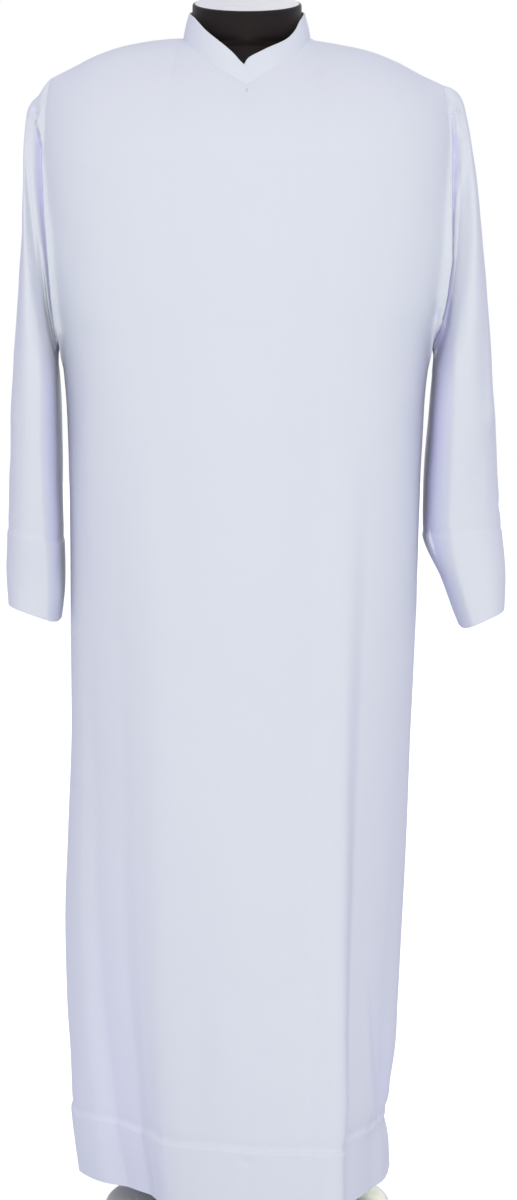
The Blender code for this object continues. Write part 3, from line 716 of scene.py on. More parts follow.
# %% Panel grids
HEM_LINE = 0.128
LEFT_PLACES = (0.0, 0.5, 1.0, 2.0, 3.6, 7.2, 10.8, 14.4, 18.0, 23.0, 28.0, 33.0, 38.0, 44.0, 50.0, 56.0,
               62.0, 68.0, 74.0, 79.5, 85.0, 88.5, 90.0)
RIGHT_PLACES = (0.0, 0.5, 1.0, 2.0, 3.6, 7.2, 10.8, 14.4, 18.0, 22.0, 25.0, 27.5, 30.0, 31.5, 33.0, 34.5,
                36.0, 38.0, 40.0, 44.0, 50.0, 58.0, 66.0, 73.0, 80.0, 85.0, 88.5, 90.0)
BACK_PLACES = (0.0, 3.6, 7.2, 10.8, 14.4, 18.0, 25.0, 32.0, 39.0, 46.0, 53.0, 60.0, 67.0, 74.0, 80.0, 85.0,
               88.5, 90.0)
FRONT_SPACING = 0.0038
BACK_SPACING = 0.0042
ROW_SPACING = 0.0075
RING_LENGTH_A_DEGREE = 0.0037
YOKE_STEPS = 34
ARMHOLE_LOW = 1.100
ARMHOLE_SPACING = 0.0050
PLAIN_SKIRT_LOW = 0.150
LOWER_EDGE_ROWS = (0.058, 0.053, HEM_HEIGHT)
LOWER_EDGE_SPACING = 0.005


def fill_between(places, spacing):
    """Places with even steps added between them, none longer than the spacing."""
    filled = [places[0]]
    for start, end in zip(places, places[1:]):
        steps = max(1, math.ceil(abs(end - start) / spacing))
        filled += [start + (end - start) * (i + 1) / steps for i in range(steps)]
    return filled


# Rows by a stitched line, in millimetres over it
FINE_STEPS = (9, 7, 5.4, 4.2, 3.2, 2.4, 1.6, 0.8, 0, -0.8, -1.6, -2.4, -3.2, -4.2, -5.4, -7, -9)


def panel_angles(facing):
    left, right = (LEFT_PLACES, RIGHT_PLACES) if facing == FRONT else (BACK_PLACES, BACK_PLACES)
    spacing = (FRONT_SPACING if facing == FRONT else BACK_SPACING) / RING_LENGTH_A_DEGREE
    left = fill_between(left, spacing)
    right = fill_between(right, spacing)
    return np.array([-a for a in reversed(left[1:])] + right)


def armhole_heights():
    return fill_between((CHEST_HEIGHT, ARMHOLE_LOW, ARMPIT_HEIGHT), ARMHOLE_SPACING)


def skirt_heights():
    """From the armpit to the hem, with fine rows at the hem line and at the lower edge."""
    fine = [HEM_LINE + step * MILLIMETRE for step in FINE_STEPS]
    coarse = fill_between((ARMPIT_HEIGHT, PLAIN_SKIRT_LOW, fine[0]), ROW_SPACING)
    lower = fill_between((fine[-1], *LOWER_EDGE_ROWS), LOWER_EDGE_SPACING)
    return coarse + fine[1:] + lower[1:]


def panel_grid(facing, angles):
    shares = [i / YOKE_STEPS for i in range(YOKE_STEPS)]
    rows = yoke_rows(angles, facing, shares)
    heights = armhole_heights() + skirt_heights()[1:]
    rows += [ring_at(angles, facing, height) for height in heights]
    return np.array(rows)


def grid_normals(grid, closed, sign):
    """Outward directions at a grid's points; closed says that its last column meets the first."""
    if closed:
        across = np.roll(grid, -1, axis=1) - np.roll(grid, 1, axis=1)
    else:
        across = np.gradient(grid, axis=1)
    return sign * unit_rows(np.cross(np.gradient(grid, axis=0), across))


front_grid = panel_grid(FRONT, panel_angles(FRONT))
back_grid = panel_grid(BACK, panel_angles(BACK))
print("front grid", front_grid.shape[:2], "back grid", back_grid.shape[:2])

# %% [markdown]
# An empty sleeve hangs flat against the body. Its rings start on the armhole and fan out round the
# armpit, then slide down to the cuff. Each is an ellipse whose length comes from where the sleeve hangs
# and whose depth comes from the cloth's girth, because cloth folds but doesn't stretch.

# %% Table of the sleeves
BULGE_RINGS = 9
ROW_LENGTH = 0.062
CUFF_LINE_ROW = 12.05
CAP_END = 2.0
CUFF_EDGE_ROWS = (13.9, 14.0)
SLEEVE_STEPS_A_ROW = 9
FINE_STEPS_A_ROW = 26
JOINING_SHARES = (0.0, 0.12, 0.24, 0.36, 0.48, 0.60, 0.72, 0.84)
SQUARENESS = 1.3
SQUARE_FROM = 2.0
SQUARE_TO = 7.0
DEPTH_LOST = 0.07
LEAN_LOST = 0.5

SleeveRow = namedtuple("SleeveRow", "number outer outer_height inner inner_height girth lean")
SLEEVE_ROWS = {
    LEFT: (
        SleeveRow(0, 0.2475, 1.4035, 0.2308, 1.0855, 0.690, 0.00),
        SleeveRow(1, 0.2545, 1.3935, 0.2320, 1.0820, 0.690, 0.02),
        SleeveRow(2, 0.2638, 1.3838, 0.2328, 1.0770, 0.690, 0.04),
        SleeveRow(3, 0.2688, 1.3700, 0.2332, 1.0710, 0.690, 0.06),
        SleeveRow(4, 0.2702, 1.3450, 0.2335, 1.0640, 0.686, 0.08),
        SleeveRow(5, 0.2704, 1.3000, 0.2336, 1.0560, 0.676, 0.12),
        SleeveRow(6, 0.2706, 1.2400, 0.2336, 1.0470, 0.655, 0.18),
        SleeveRow(7, 0.2740, 1.1800, 0.2335, 1.0370, 0.620, 0.25),
        SleeveRow(8, 0.2785, 1.1200, 0.2333, 1.0250, 0.582, 0.32),
        SleeveRow(9, 0.2830, 1.0600, 0.2330, 1.0050, 0.548, 0.38),
        SleeveRow(10, 0.2872, 0.9900, 0.2323, 0.9650, 0.510, 0.40),
        SleeveRow(11, 0.2900, 0.9250, 0.2312, 0.9100, 0.470, 0.40),
        SleeveRow(12, 0.2930, 0.8640, 0.2298, 0.8480, 0.430, 0.38),
        SleeveRow(13, 0.2960, 0.8100, 0.2286, 0.7900, 0.392, 0.30),
        SleeveRow(14, 0.2945, 0.7700, 0.2330, 0.7480, 0.364, 0.20),
    ),
    RIGHT: (
        SleeveRow(0, 0.2500, 1.4000, 0.2278, 1.0850, 0.690, 0.00),
        SleeveRow(1, 0.2565, 1.3950, 0.2290, 1.0810, 0.690, 0.02),
        SleeveRow(2, 0.2625, 1.3855, 0.2297, 1.0760, 0.690, 0.04),
        SleeveRow(3, 0.2668, 1.3700, 0.2302, 1.0700, 0.690, 0.06),
        SleeveRow(4, 0.2715, 1.3460, 0.2304, 1.0630, 0.686, 0.10),
        SleeveRow(5, 0.2780, 1.3050, 0.2304, 1.0550, 0.676, 0.16),
        SleeveRow(6, 0.2832, 1.2450, 0.2302, 1.0460, 0.655, 0.24),
        SleeveRow(7, 0.2882, 1.1850, 0.2298, 1.0360, 0.622, 0.34),
        SleeveRow(8, 0.2930, 1.1220, 0.2290, 1.0230, 0.586, 0.44),
        SleeveRow(9, 0.2988, 1.0600, 0.2275, 1.0030, 0.550, 0.50),
        SleeveRow(10, 0.3040, 0.9900, 0.2245, 0.9620, 0.512, 0.52),
        SleeveRow(11, 0.3085, 0.9250, 0.2215, 0.9080, 0.472, 0.50),
        SleeveRow(12, 0.3135, 0.8640, 0.2205, 0.8560, 0.430, 0.42),
        SleeveRow(13, 0.3183, 0.8050, 0.2430, 0.7980, 0.390, 0.30),
        SleeveRow(14, 0.3175, 0.7640, 0.2650, 0.7400, 0.362, 0.20),
    ),
}

print("sleeve table:", len(SLEEVE_ROWS[LEFT]), "rings a side")

# %% [markdown]
# The first ring of a sleeve is the armhole itself, point for point, so that the two edges fit. A few
# rows lead over from it to the first ring of the table. Lower down, the rings turn squarer, because an
# empty sleeve has a flat front with a fold at each side.

# %% Sleeve grids
def armhole_loop(side):
    """The armhole's points from the shoulder down the front, and up the back."""
    edges = []
    edge = np.array([side * 90.0])
    shares = [i / YOKE_STEPS for i in range(YOKE_STEPS)]
    for facing in (FRONT, BACK):
        rows = yoke_rows(edge, facing, shares)
        rows += [ring_at(edge, facing, height) for height in armhole_heights()]
        edges.append(np.array(rows)[:, 0])
    return np.concatenate([edges[0], edges[1][-2:0:-1]])


def ring_depth(half_length, girth):
    """Half the depth of a flattened ring of cloth, from its half length and its girth."""
    low, high = 0.0, girth / 2
    for _ in range(HALVINGS):
        depth = (low + high) / 2
        total = 3 * (half_length + depth)
        round_it = math.pi * (total - math.sqrt((3 * half_length + depth) * (half_length + 3 * depth)))
        low, high = (depth, high) if round_it < girth else (low, depth)
    return (low + high) / 2


def sleeve_times():
    """Ring numbers from the cap to the cuff, with fine ones at the stitched line and at the edge."""
    fine = [CUFF_LINE_ROW - step * MILLIMETRE / ROW_LENGTH for step in FINE_STEPS]
    upper = fill_between((0.0, CAP_END), 1 / FINE_STEPS_A_ROW)
    coarse = upper[:-1] + fill_between((CAP_END, fine[0]), 1 / SLEEVE_STEPS_A_ROW)
    lower = fill_between((fine[-1], *CUFF_EDGE_ROWS), 1 / SLEEVE_STEPS_A_ROW)
    return coarse + fine[1:] + lower[1:]


def rounded(wave, power):
    """A sine or cosine drawn towards a square corner, with its sign kept."""
    return np.sign(wave) * np.abs(wave) ** power


def sleeve_ring(side, time, turn):
    """One ring of a sleeve, by its number; below the cap its front turns squarer and leans less."""
    rows = SLEEVE_ROWS[side]
    outer = np.array([side * read_curve(rows, "outer", time), 0.0, read_curve(rows, "outer_height", time)])
    inner = np.array([side * read_curve(rows, "inner", time), 0.0, read_curve(rows, "inner_height", time)])
    half = (outer - inner) / 2
    square = float(smooth_step(SQUARE_FROM, SQUARE_TO, time))
    depth = ring_depth(float(np.linalg.norm(half)), float(read_curve(rows, "girth", time)))
    depth *= 1 - DEPTH_LOST * square
    power = 2 / (2 + SQUARENESS * square)
    lean = read_curve(rows, "lean", time) * (1 - LEAN_LOST * square)
    along = rounded(np.cos(turn), power) - lean * np.sin(turn) ** 2
    ring = (outer + inner) / 2 + np.outer(along, half)
    ring[:, 1] = -rounded(np.sin(turn), power) * depth
    return ring


def sleeve_grid(side):
    """Rows from the armhole, over a few that join on to it, down to the cuff."""
    loop = armhole_loop(side)
    low, high = loop[:, 2].min(), loop[:, 2].max()
    share = np.clip((2 * loop[:, 2] - low - high) / (high - low), -1, 1)
    turn = np.arccos(share) * np.where(loop[:, 1] > 0, -1, 1)
    shoulder, armpit = loop[share.argmax()], loop[share.argmin()]
    bulge = loop[:, 0] - (armpit[0] + (shoulder[0] - armpit[0]) * (share + 1) / 2)
    rings = []
    for time in sleeve_times():
        ring = sleeve_ring(side, time, turn)
        ring[:, 0] += bulge * max(0.0, 1 - time / BULGE_RINGS)
        rings.append(ring)
    joining = [loop + (rings[0] - loop) * share for share in JOINING_SHARES]
    return np.array(joining + rings)


sleeve_grids = {side: sleeve_grid(side) for side in (LEFT, RIGHT)}
print("sleeve grids", sleeve_grids[LEFT].shape[:2], "girth at the cuff", SLEEVE_ROWS[LEFT][-1].girth)

# %% [markdown]
# Creases are given as seen from one side. Each has a short path in that view, with a depth at
# every point of it, and a width to either side, so one flank may be steep and the other gentle. A soft
# crease is a rounded trough, from which a little cloth wells up along the banks. A ramp is a straight
# flank, as on the facet of a flattened sleeve. A level one works the other way: it brings the cloth
# forward to a given depth, which makes the body and the sleeve meet in one face beside the armhole.

# %% Pressing creases
# The third field of a crease is how much of its depth is painted on the cloth as lavender shade.
Crease = namedtuple("Crease", "view shape tint path")
Seen = namedtuple("Seen", "across away toward")
VIEWS = {"front": Seen(0, 1, -1), "back": Seen(0, 1, 1), "left": Seen(1, 0, -1), "right": Seen(1, 0, 1)}
FACING_DEPTH = 0.008
FACING_FROM = 0.1
FACING_TO = 0.6
DEEPEST_SHARE = 0.62
BANK = 0.16
BANK_PLACE = 1.9
BANK_WIDTH = 0.7
RAMP_CORNER = 0.008
RAMP_FULL = 2.01
LEVEL_BLEND = 0.008
FULL_FOLD_SHADE_DEPTH = 0.009


def crease_shape(flat, crease):
    """A crease's depth in metres, and its strength, from 1 on its path to 0 away from it."""
    nearest = np.full(flat.shape[:-1], 1e9)
    depth = np.zeros(flat.shape[:-1])
    for first, last in zip(crease.path, crease.path[1:]):
        start, end = np.array(first) * MILLIMETRE, np.array(last) * MILLIMETRE
        run = end[:2] - start[:2]
        offset = flat - start[:2]
        share = np.clip((offset @ run) / (run @ run), 0.0, 1.0)
        here = start + share[..., None] * (end - start)
        aside = flat - here[..., :2]
        width = np.where(aside[..., 0] < 0, here[..., 3], here[..., 4])
        distance = np.linalg.norm(aside, axis=-1) / width
        closer = distance < nearest
        nearest = np.where(closer, distance, nearest)
        depth = np.where(closer, here[..., 2], depth)
    if crease.shape == "level":
        return depth, np.exp(-(nearest**4))
    if crease.shape == "ramp":
        rest = 1 - nearest
        return depth, (rest + np.sqrt(rest * rest + RAMP_CORNER)) / RAMP_FULL
    bank = np.where(depth < 0, BANK * np.exp(-(((nearest - BANK_PLACE) / BANK_WIDTH) ** 2)), 0.0)
    return depth, np.exp(-(nearest**2)) - bank


def press_creases(grid, normals, creases, freedom):
    """Presses creases along the line of sight, never through; also gives how much painted shade each trough
    puts on the cloth.
    """
    pressed = grid.copy()
    fold_shade = np.zeros(grid.shape[:2])
    for crease in creases:
        seen = VIEWS[crease.view]
        flat = pressed[..., (seen.across, 2)]
        room = pressed[..., seen.away] * seen.toward
        weight = freedom * smooth_step(0.0, FACING_DEPTH, room)
        if crease.view in ("left", "right"):
            weight = weight * smooth_step(FACING_FROM, FACING_TO, normals[..., seen.away] * seen.toward)
        depth, strength = crease_shape(flat, crease)
        if crease.shape == "level":
            short = depth - room
            move = weight * strength * (short + np.sqrt(short**2 + LEVEL_BLEND**2)) / 2
        else:
            move = weight * np.maximum(depth * strength, -DEEPEST_SHARE * np.maximum(room, 0.0))
        pressed[..., seen.away] += seen.toward * move
        # Painted shade: how deep a point lies in a trough sets how far its colour is painted towards
        # lavender.
        fold_shade += crease.tint * np.maximum(-move, 0.0) / FULL_FOLD_SHADE_DEPTH
    return pressed, np.clip(fold_shade, 0.0, 1.0)


print("views that a crease can be pressed from:", ", ".join(VIEWS))

# %% [markdown]
# The first creases belong to the panels and the sleeves alike, because they cross the armhole seams. On
# each side the cloth of body and sleeve stands forward in one flap. Points of a path are across, height,
# depth, width before it and width after it, in millimetres, because that is how they are measured.

# %% Creases beside the armholes
ARMHOLE_CREASES = (
    # Flap beside the left armhole
    Crease("front", "level", 0.0, (
        (-246, 1370, 24, 12, 12), (-247, 1340, 37, 10, 22), (-247, 1300, 51, 9, 28),
        (-244, 1240, 61, 9, 30), (-241, 1190, 65, 8, 30), (-237, 1140, 64, 7, 30),
        (-231, 1100, 58, 6, 26), (-229, 1080, 38, 5, 16),
    )),
    # Flap beside the right armhole
    Crease("front", "level", 0.0, (
        (246, 1366, 24, 12, 12), (247, 1335, 37, 22, 10), (247, 1300, 51, 28, 10),
        (246, 1240, 61, 30, 10), (244, 1190, 66, 30, 10), (240, 1145, 66, 30, 10),
        (233, 1108, 60, 26, 9), (226, 1080, 42, 16, 6),
    )),
    # Small hollow at the right armpit
    Crease("front", "soft", 1.0, ((228, 1132, -2, 4, 4), (229.5, 1121, -6, 5, 4))),
)

# %% [markdown]
# With no arm in them, the sleeve caps sink in: a dimple and a long sharp fold on one side, a hook with a
# narrow dimple under it on the other. Below, each sleeve is flat, with a facet along its inner side. The
# outer sides and the backs get troughs of the same kind, none of them alike.

# %% Creases on the sleeves
SLEEVE_CREASES = (
    # Front of the left sleeve, level with the flap
    Crease("front", "level", 0.0, (
        (-264, 1372, 5, 9, 9), (-262, 1335, 38, 9, 9), (-261, 1300, 52, 9, 9),
        (-259, 1240, 64, 12, 10), (-259, 1190, 76, 14, 11), (-260, 1140, 86, 16, 12),
        (-262, 1080, 94, 18, 14), (-264, 1000, 98, 18, 14),
    )),
    # Front of the right sleeve
    Crease("front", "level", 0.0, (
        (261, 1372, 5, 9, 9), (263, 1335, 38, 10, 9), (265, 1300, 52, 10, 10),
        (268, 1240, 64, 13, 13), (270, 1190, 76, 15, 16), (272, 1140, 84, 18, 18),
        (275, 1080, 90, 20, 20), (279, 1000, 92, 22, 20),
    )),
    # Dimple at the top of the left cap
    Crease("front", "soft", 1.0, ((-256.2, 1367.6, -6, 5, 4.6), (-256, 1360.5, -2.5, 1.8, 1.6))),
    # Long sharp fold down beside the left armhole
    Crease("front", "soft", 1.0, (
        (-257.5, 1353.5, -3, 1.5, 1.6), (-252.6, 1338, -7, 5, 1), (-250, 1326.9, -9, 6, 0.9),
        (-248.3, 1282.8, -10, 5.4, 0.9), (-246.5, 1246, -10, 4, 0.8),
        (-241.9, 1190.6, -9, 2.2, 0.7), (-238.1, 1142.6, -8, 1.5, 0.7), (-233.5, 1095, -8, 1.5, 0.8),
    )),
    # Facet down the inner side of the left sleeve
    Crease("front", "ramp", 0.6, (
        (-234.5, 1100, -6, 4, 5), (-232, 1060, -10, 13, 6), (-231, 980, -16, 16, 6),
        (-230, 880, -15, 16, 6), (-231, 830, -10, 11, 6), (-234, 755, -6, 8, 6),
    )),
    # Hook at the top of the right cap
    Crease("front", "soft", 1.0, (
        (259.4, 1370.9, -1.5, 2, 2), (253.3, 1369.7, -4.5, 2.4, 2.4), (250, 1364.5, -4.5, 1.4, 3.4),
        (250, 1354, -1.5, 1, 3),
    )),
    # Narrow dimple under the hook
    Crease("front", "soft", 1.0, (
        (249.9, 1350.6, -3, 0.8, 4), (251, 1332.3, -8, 0.9, 6.4), (249.7, 1287.8, -9, 0.9, 4.4),
        (249.1, 1237.3, -8, 0.8, 1.6), (248.9, 1200, -6, 0.8, 1),
    )),
    # Its steep lower end, which widens to the armpit
    Crease("front", "ramp", 1.0, (
        (248.9, 1200, -4, 0.8, 1.5), (248.8, 1186, -8, 0.8, 2.4), (243.4, 1145.8, -14, 0.8, 5),
        (237.5, 1113.3, -22, 0.8, 11), (226.5, 1080, -16, 1.5, 20), (223, 1050, 0, 4, 24),
    )),
    # Facet down the right sleeve to the cuff's corner
    Crease("front", "ramp", 0.4, (
        (234, 1110, -1, 0.8, 12), (226.5, 1080, -18, 1.5, 21), (223, 1040, -30, 5, 26),
        (221, 960, -31, 6, 26), (221, 870, -24, 6, 24), (238, 810, -15, 6, 16),
        (263, 745, -8, 6, 11),
    )),
    # Short crease on the face of the right cap
    Crease("front", "soft", 0.6, (
        (267.2, 1344, 0, 1.4, 2), (267.4, 1320, -1.6, 1.4, 2), (267.4, 1288, 0, 1.4, 2),
    )),
    # Gentle troughs low on both sleeves
    Crease("front", "soft", 0.0, ((-270, 1030, 0, 8, 10), (-274, 970, -1.6, 8, 10), (-272, 900, 0, 8, 10))),
    Crease("front", "soft", 0.0, ((270, 990, 0, 10, 8), (278, 930, -1.8, 10, 8), (281, 870, 0, 10, 8))),
    # Folds behind both armholes
    Crease("back", "soft", 1.0, (
        (256, 1356, -2, 5, 1), (253, 1330, -6, 6, 1), (250, 1275, -9, 5, 1), (246, 1215, -8, 3, 1),
        (240, 1140, -8, 2, 1), (234, 1100, -8, 2, 1),
    )),
    Crease("back", "soft", 1.0, (
        (-256, 1348, -2, 1, 6), (-252, 1300, -8, 1, 6), (-248, 1230, -9, 1, 4),
        (-242, 1170, -8, 1, 2), (-236, 1100, -8, 1, 2),
    )),
    # Troughs on the outside of the right sleeve
    Crease("right", "soft", 0.3, (
        (-18, 1345, 0, 9, 14), (-30, 1240, -4.5, 8, 15), (-50, 1120, -6, 8, 16),
        (-62, 1010, -2.5, 8, 13), (-66, 960, 0, 8, 12),
    )),
    Crease("right", "soft", 0.3, (
        (26, 1290, 0, 14, 9), (36, 1190, -4, 15, 8), (44, 1080, -5, 14, 8), (40, 985, 0, 12, 8),
    )),
    Crease("right", "soft", 0.2, ((-52, 905, 0, 7, 10), (-20, 880, -3, 7, 10), (10, 872, 0, 7, 10))),
    Crease("right", "soft", 0.2, ((4, 1180, 0, 8, 10), (-4, 1080, -3, 8, 11), (2, 1000, 0, 8, 10))),
    # Troughs on the outside of the left sleeve
    Crease("left", "soft", 0.3, (
        (-14, 1330, 0, 9, 13), (-24, 1215, -4, 9, 15), (-44, 1090, -6, 8, 16),
        (-52, 1000, -3, 8, 14), (-50, 930, 0, 8, 12),
    )),
    Crease("left", "soft", 0.3, (
        (22, 1310, 0, 14, 8), (34, 1225, -5, 15, 8), (46, 1130, -4, 14, 8), (52, 1040, 0, 12, 8),
    )),
    Crease("left", "soft", 0.2, ((48, 950, 0, 10, 8), (20, 925, -3.5, 10, 8), (-16, 935, 0, 10, 8))),
    Crease("left", "soft", 0.2, ((2, 1120, 0, 8, 9), (6, 1040, -2.5, 8, 10), (0, 970, 0, 8, 9))),
    # Facets on the backs of both sleeves
    Crease("back", "ramp", 0.35, (
        (231, 1050, -9, 6, 12), (227, 970, -14, 6, 17), (222, 870, -13, 6, 15),
        (250, 770, -6, 6, 10),
    )),
    Crease("back", "ramp", 0.35, (
        (-232, 1060, -9, 13, 6), (-229, 980, -14, 16, 6), (-228, 880, -14, 14, 6),
        (-230, 770, -7, 10, 6),
    )),
)

# %% [markdown]
# The panels have few creases. What shows most is the foot of the pleat and the kink over the hem, where
# the stiff turned hem holds the cloth out and the thin cloth over it falls in.

# %% Creases on the panels
PANEL_CREASES = (
    # Edge of the closure under the notch
    Crease("front", "soft", 0.3, ((0.6, 1399, -0.5, 1.2, 2), (0.4, 1384, -0.3, 1.2, 2))),
    # Foot of the pleat, steep on its inner side
    Crease("front", "soft", 0.3, (
        (149, 330, 0, 3.5, 22), (154.5, 240, -6, 3.5, 22), (160, 175, -9, 3.5, 22),
        (161.5, 150, -7, 3.5, 22),
    )),
    # Wide recess left of the middle
    Crease("front", "soft", 1.8, (
        (-150, 560, 0, 44, 30), (-158, 300, -1, 60, 34), (-156, 170, -1.5, 70, 40),
        (-146, 60, -1.5, 70, 46),
    )),
    # Pucker under the hem line
    Crease("front", "soft", 0.3, ((-12, 119, 0, 4, 5), (-1, 115, -1.6, 4, 5), (10, 120, 0, 4, 5))),
    # Kink over the hem at the right side, a wide one and a narrow one
    Crease("right", "soft", 0.2, (
        (-80, 170, 0, 34, 34), (-25, 160, -4, 34, 34), (40, 158, -4, 34, 34), (95, 165, 0, 34, 34),
    )),
    Crease("right", "soft", 0.2, (
        (-75, 128, 0, 20, 17), (-25, 121, -3.4, 20, 17), (35, 119, -3.8, 20, 17),
        (85, 126, 0, 20, 17),
    )),
    # Faint waist over the hem at the left side
    Crease("left", "soft", 0.2, ((60, 235, 0, 40, 40), (20, 205, -1.6, 40, 40), (-40, 195, 0, 40, 40))),
    # Troughs beside the shoulder blades
    Crease("back", "soft", 0.2, (
        (-198, 1330, 0, 9, 16), (-186, 1250, -3.5, 9, 18), (-178, 1150, -3, 9, 18),
        (-182, 1050, 0, 9, 16),
    )),
    Crease("back", "soft", 0.2, (
        (201, 1320, 0, 16, 9), (187, 1220, -4, 18, 9), (182, 1100, -2.5, 18, 9),
        (186, 1010, 0, 16, 9),
    )),
    # Sag under the back of the neck
    Crease("back", "soft", 0.2, ((-60, 1352, 0, 20, 6), (0, 1338, -2.2, 20, 6), (64, 1350, 0, 20, 6))),
    # Long trough down the back
    Crease("back", "soft", 0.2, ((-20, 900, 0, 12, 16), (-28, 700, -2.5, 12, 18), (-24, 480, -1, 12, 16))),
    # Faint troughs down the front
    Crease("front", "soft", 0.0, (
        (-60, 340, 0, 12, 16), (-56, 230, -1.5, 12, 16), (-62, 130, -0.6, 12, 16),
    )),
    Crease("front", "soft", 0.0, ((70, 520, 0, 16, 12), (74, 360, -1.8, 16, 12), (72, 160, -0.5, 16, 12))),
)
print("creases:", len(ARMHOLE_CREASES + SLEEVE_CREASES + PANEL_CREASES))

# %% [markdown]
# Cloth that has hung for a while is never quite even. A slow noise moves the surface in and out by about
# a millimetre, and fades out at the edges, so that neighbouring pieces still meet at their seams. Beside
# a seam the cloth stands up a little, and over a turned hem it steps out by the cloth folded behind it,
# with small puckers where the stitches pull. All of this is moved points, so it shows in any light.

# %% Unevenness, seams and hems
Wander = namedtuple("Wander", "amount size")
PANEL_WANDER = Wander(0.0024, 0.16)
SLEEVE_WANDER = Wander(0.0030, 0.14)
SMALL_WANDER = Wander(0.0007, 0.045)
EDGE_FADE = 0.030
SEAM_WIDTH = 0.0030
SEAM_SWELL = 0.0006
SEAM_SPREAD = 0.016
HEM_PROUD = 0.0022
CUFF_PROUD = 0.0009
HEM_WAVE_PITCH = 0.034
HEM_WAVE_HEIGHT = 0.0015
HEM_STEP_TOP = 0.0022
HEM_STEP_FOOT = -0.0026
HEM_SETTLES = 0.030
DIP_PLACE = 0.006
DIP_WIDTH = 0.0045
PUCKER_PITCH = 0.013
PUCKER_SHARE = 0.36
PUCKER_REACH = 0.010
FOLDED_BELOW = 0.0005


def edge_distances(grid, closed):
    """Distance along the cloth from each point to the nearest edge across it, and to the upper edge."""
    down = np.linalg.norm(np.diff(grid, axis=0), axis=2)
    down = np.concatenate([np.zeros((1, grid.shape[1])), np.cumsum(down, axis=0)])
    across = np.linalg.norm(np.diff(grid, axis=1), axis=2)
    across = np.concatenate([np.zeros((grid.shape[0], 1)), np.cumsum(across, axis=1)], axis=1)
    aside = np.full(grid.shape[:2], 9.0) if closed else np.minimum(across, across[:, -1:] - across)
    return down, across, aside


def add_unevenness(grid, normals, fade, wander, seed):
    """Moves the surface along its normals by a slow noise."""
    places = grid.reshape(-1, 3) / wander.size + seed
    values = np.array([noise.noise(Vector(place)) for place in places.tolist()]).reshape(grid.shape[:2])
    return grid + normals * (values * fade * wander.amount)[..., None]


def seam_swell(distance):
    """How far the cloth stands up beside a seam, so that the seam itself lies in a soft valley."""
    return SEAM_SWELL * (1 - np.exp(-((distance / SEAM_WIDTH) ** 2))) * np.exp(-distance / SEAM_SPREAD)


def irregular_wave(distance, pitch, seed):
    """A wave whose length and strength keep changing, as puckers along a seam do."""
    turns = distance / pitch
    bent = turns + 0.55 * np.sin(turns * 1.7 + seed) + 0.4 * np.sin(turns * 0.63 + 2 * seed)
    strength = 0.55 + 0.45 * np.sin(turns * 0.41 + 3 * seed)
    return np.sin(bent * 2) * strength


def turned_hem(grid, normals, above, along, proud, seed):
    """The step and the puckers of a turned hem; above is the distance over its stitched line."""
    line = above + irregular_wave(along, HEM_WAVE_PITCH, seed) * HEM_WAVE_HEIGHT
    settled = 0.35 + 0.65 * np.exp(np.minimum(line, 0) / HEM_SETTLES)
    step = proud * smooth_step(HEM_STEP_TOP, HEM_STEP_FOOT, line) * settled
    dip = -0.5 * proud * np.exp(-(((line - DIP_PLACE) / DIP_WIDTH) ** 2))
    wave = irregular_wave(along, PUCKER_PITCH, seed + 1) * PUCKER_SHARE
    pucker = wave * proud * np.exp(-np.abs(line) / PUCKER_REACH)
    return grid + normals * (step + dip + pucker)[..., None]


print("cloth stands up", SEAM_SWELL / MILLIMETRE, "mm beside a seam")

# %% [markdown]
# A cloth piece becomes a mesh with two faces a millimetre apart, and twice that inside a hem, where the
# cloth is turned up. Solidify could do this, but writing both skins and the rims from the grids gives
# clean quads, a true thickness at every open edge and hems of their own thickness.

# %% Faces of a cloth wall
CLOTH_THICKNESS = 0.0010


def grid_faces(rows, columns, closed, turned):
    """Quads of the outer skin, the inner one and the rims between them."""
    count = rows * columns
    number = np.arange(count).reshape(rows, columns)
    following = np.roll(number, -1, axis=1) if closed else number[:, 1:]
    here = number if closed else number[:, :-1]
    outer = np.stack([here[:-1], here[1:], following[1:], following[:-1]], -1).reshape(-1, 4)
    inner = outer[:, ::-1] + count
    top = np.stack([here[0], following[0], following[0] + count, here[0] + count], -1)
    bottom = np.stack([following[-1], here[-1], here[-1] + count, following[-1] + count], -1)
    faces = [outer, inner, top, bottom]
    if not closed:
        first, last = number[:, 0], number[:, -1]
        faces.append(np.stack([first[1:], first[:-1], first[:-1] + count, first[1:] + count], -1))
        faces.append(np.stack([last[:-1], last[1:], last[1:] + count, last[:-1] + count], -1))
    quads = np.concatenate(faces)
    return quads if turned > 0 else quads[:, ::-1]


print("cloth thickness", CLOTH_THICKNESS / MILLIMETRE, "mm")

# %% [markdown]
# Every piece ends in the same few steps, so they are written once. Its UV map holds distances along the
# cloth in metres, which is what keeps the weave at its true size. Edges stay smooth unless they turn
# sharply, as at the rims.

# %% Cloth meshes
def lay_threads(mesh, places):
    """A UV map in metres along the threads, from each point's place on the flat cloth."""
    loops = np.empty(len(mesh.loops), np.int64)
    mesh.loops.foreach_get("vertex_index", loops)
    layer = mesh.uv_layers.new(name="threads")
    layer.data.foreach_set("uv", places.reshape(-1, 2)[loops].astype(np.float32).ravel())


def finish_piece(mesh, sharp_from, *materials):
    """Smooth shading but for edges sharper than an angle, the materials, and an object in the scene."""
    mesh.shade_smooth()
    mesh.set_sharp_from_angle(angle=math.radians(sharp_from))
    for material in materials:
        mesh.materials.append(material)
    piece = bpy.data.objects.new(mesh.name, mesh)
    bpy.context.collection.objects.link(piece)
    print(piece.name, sum(len(face.vertices) - 2 for face in mesh.polygons), "triangles")
    return piece


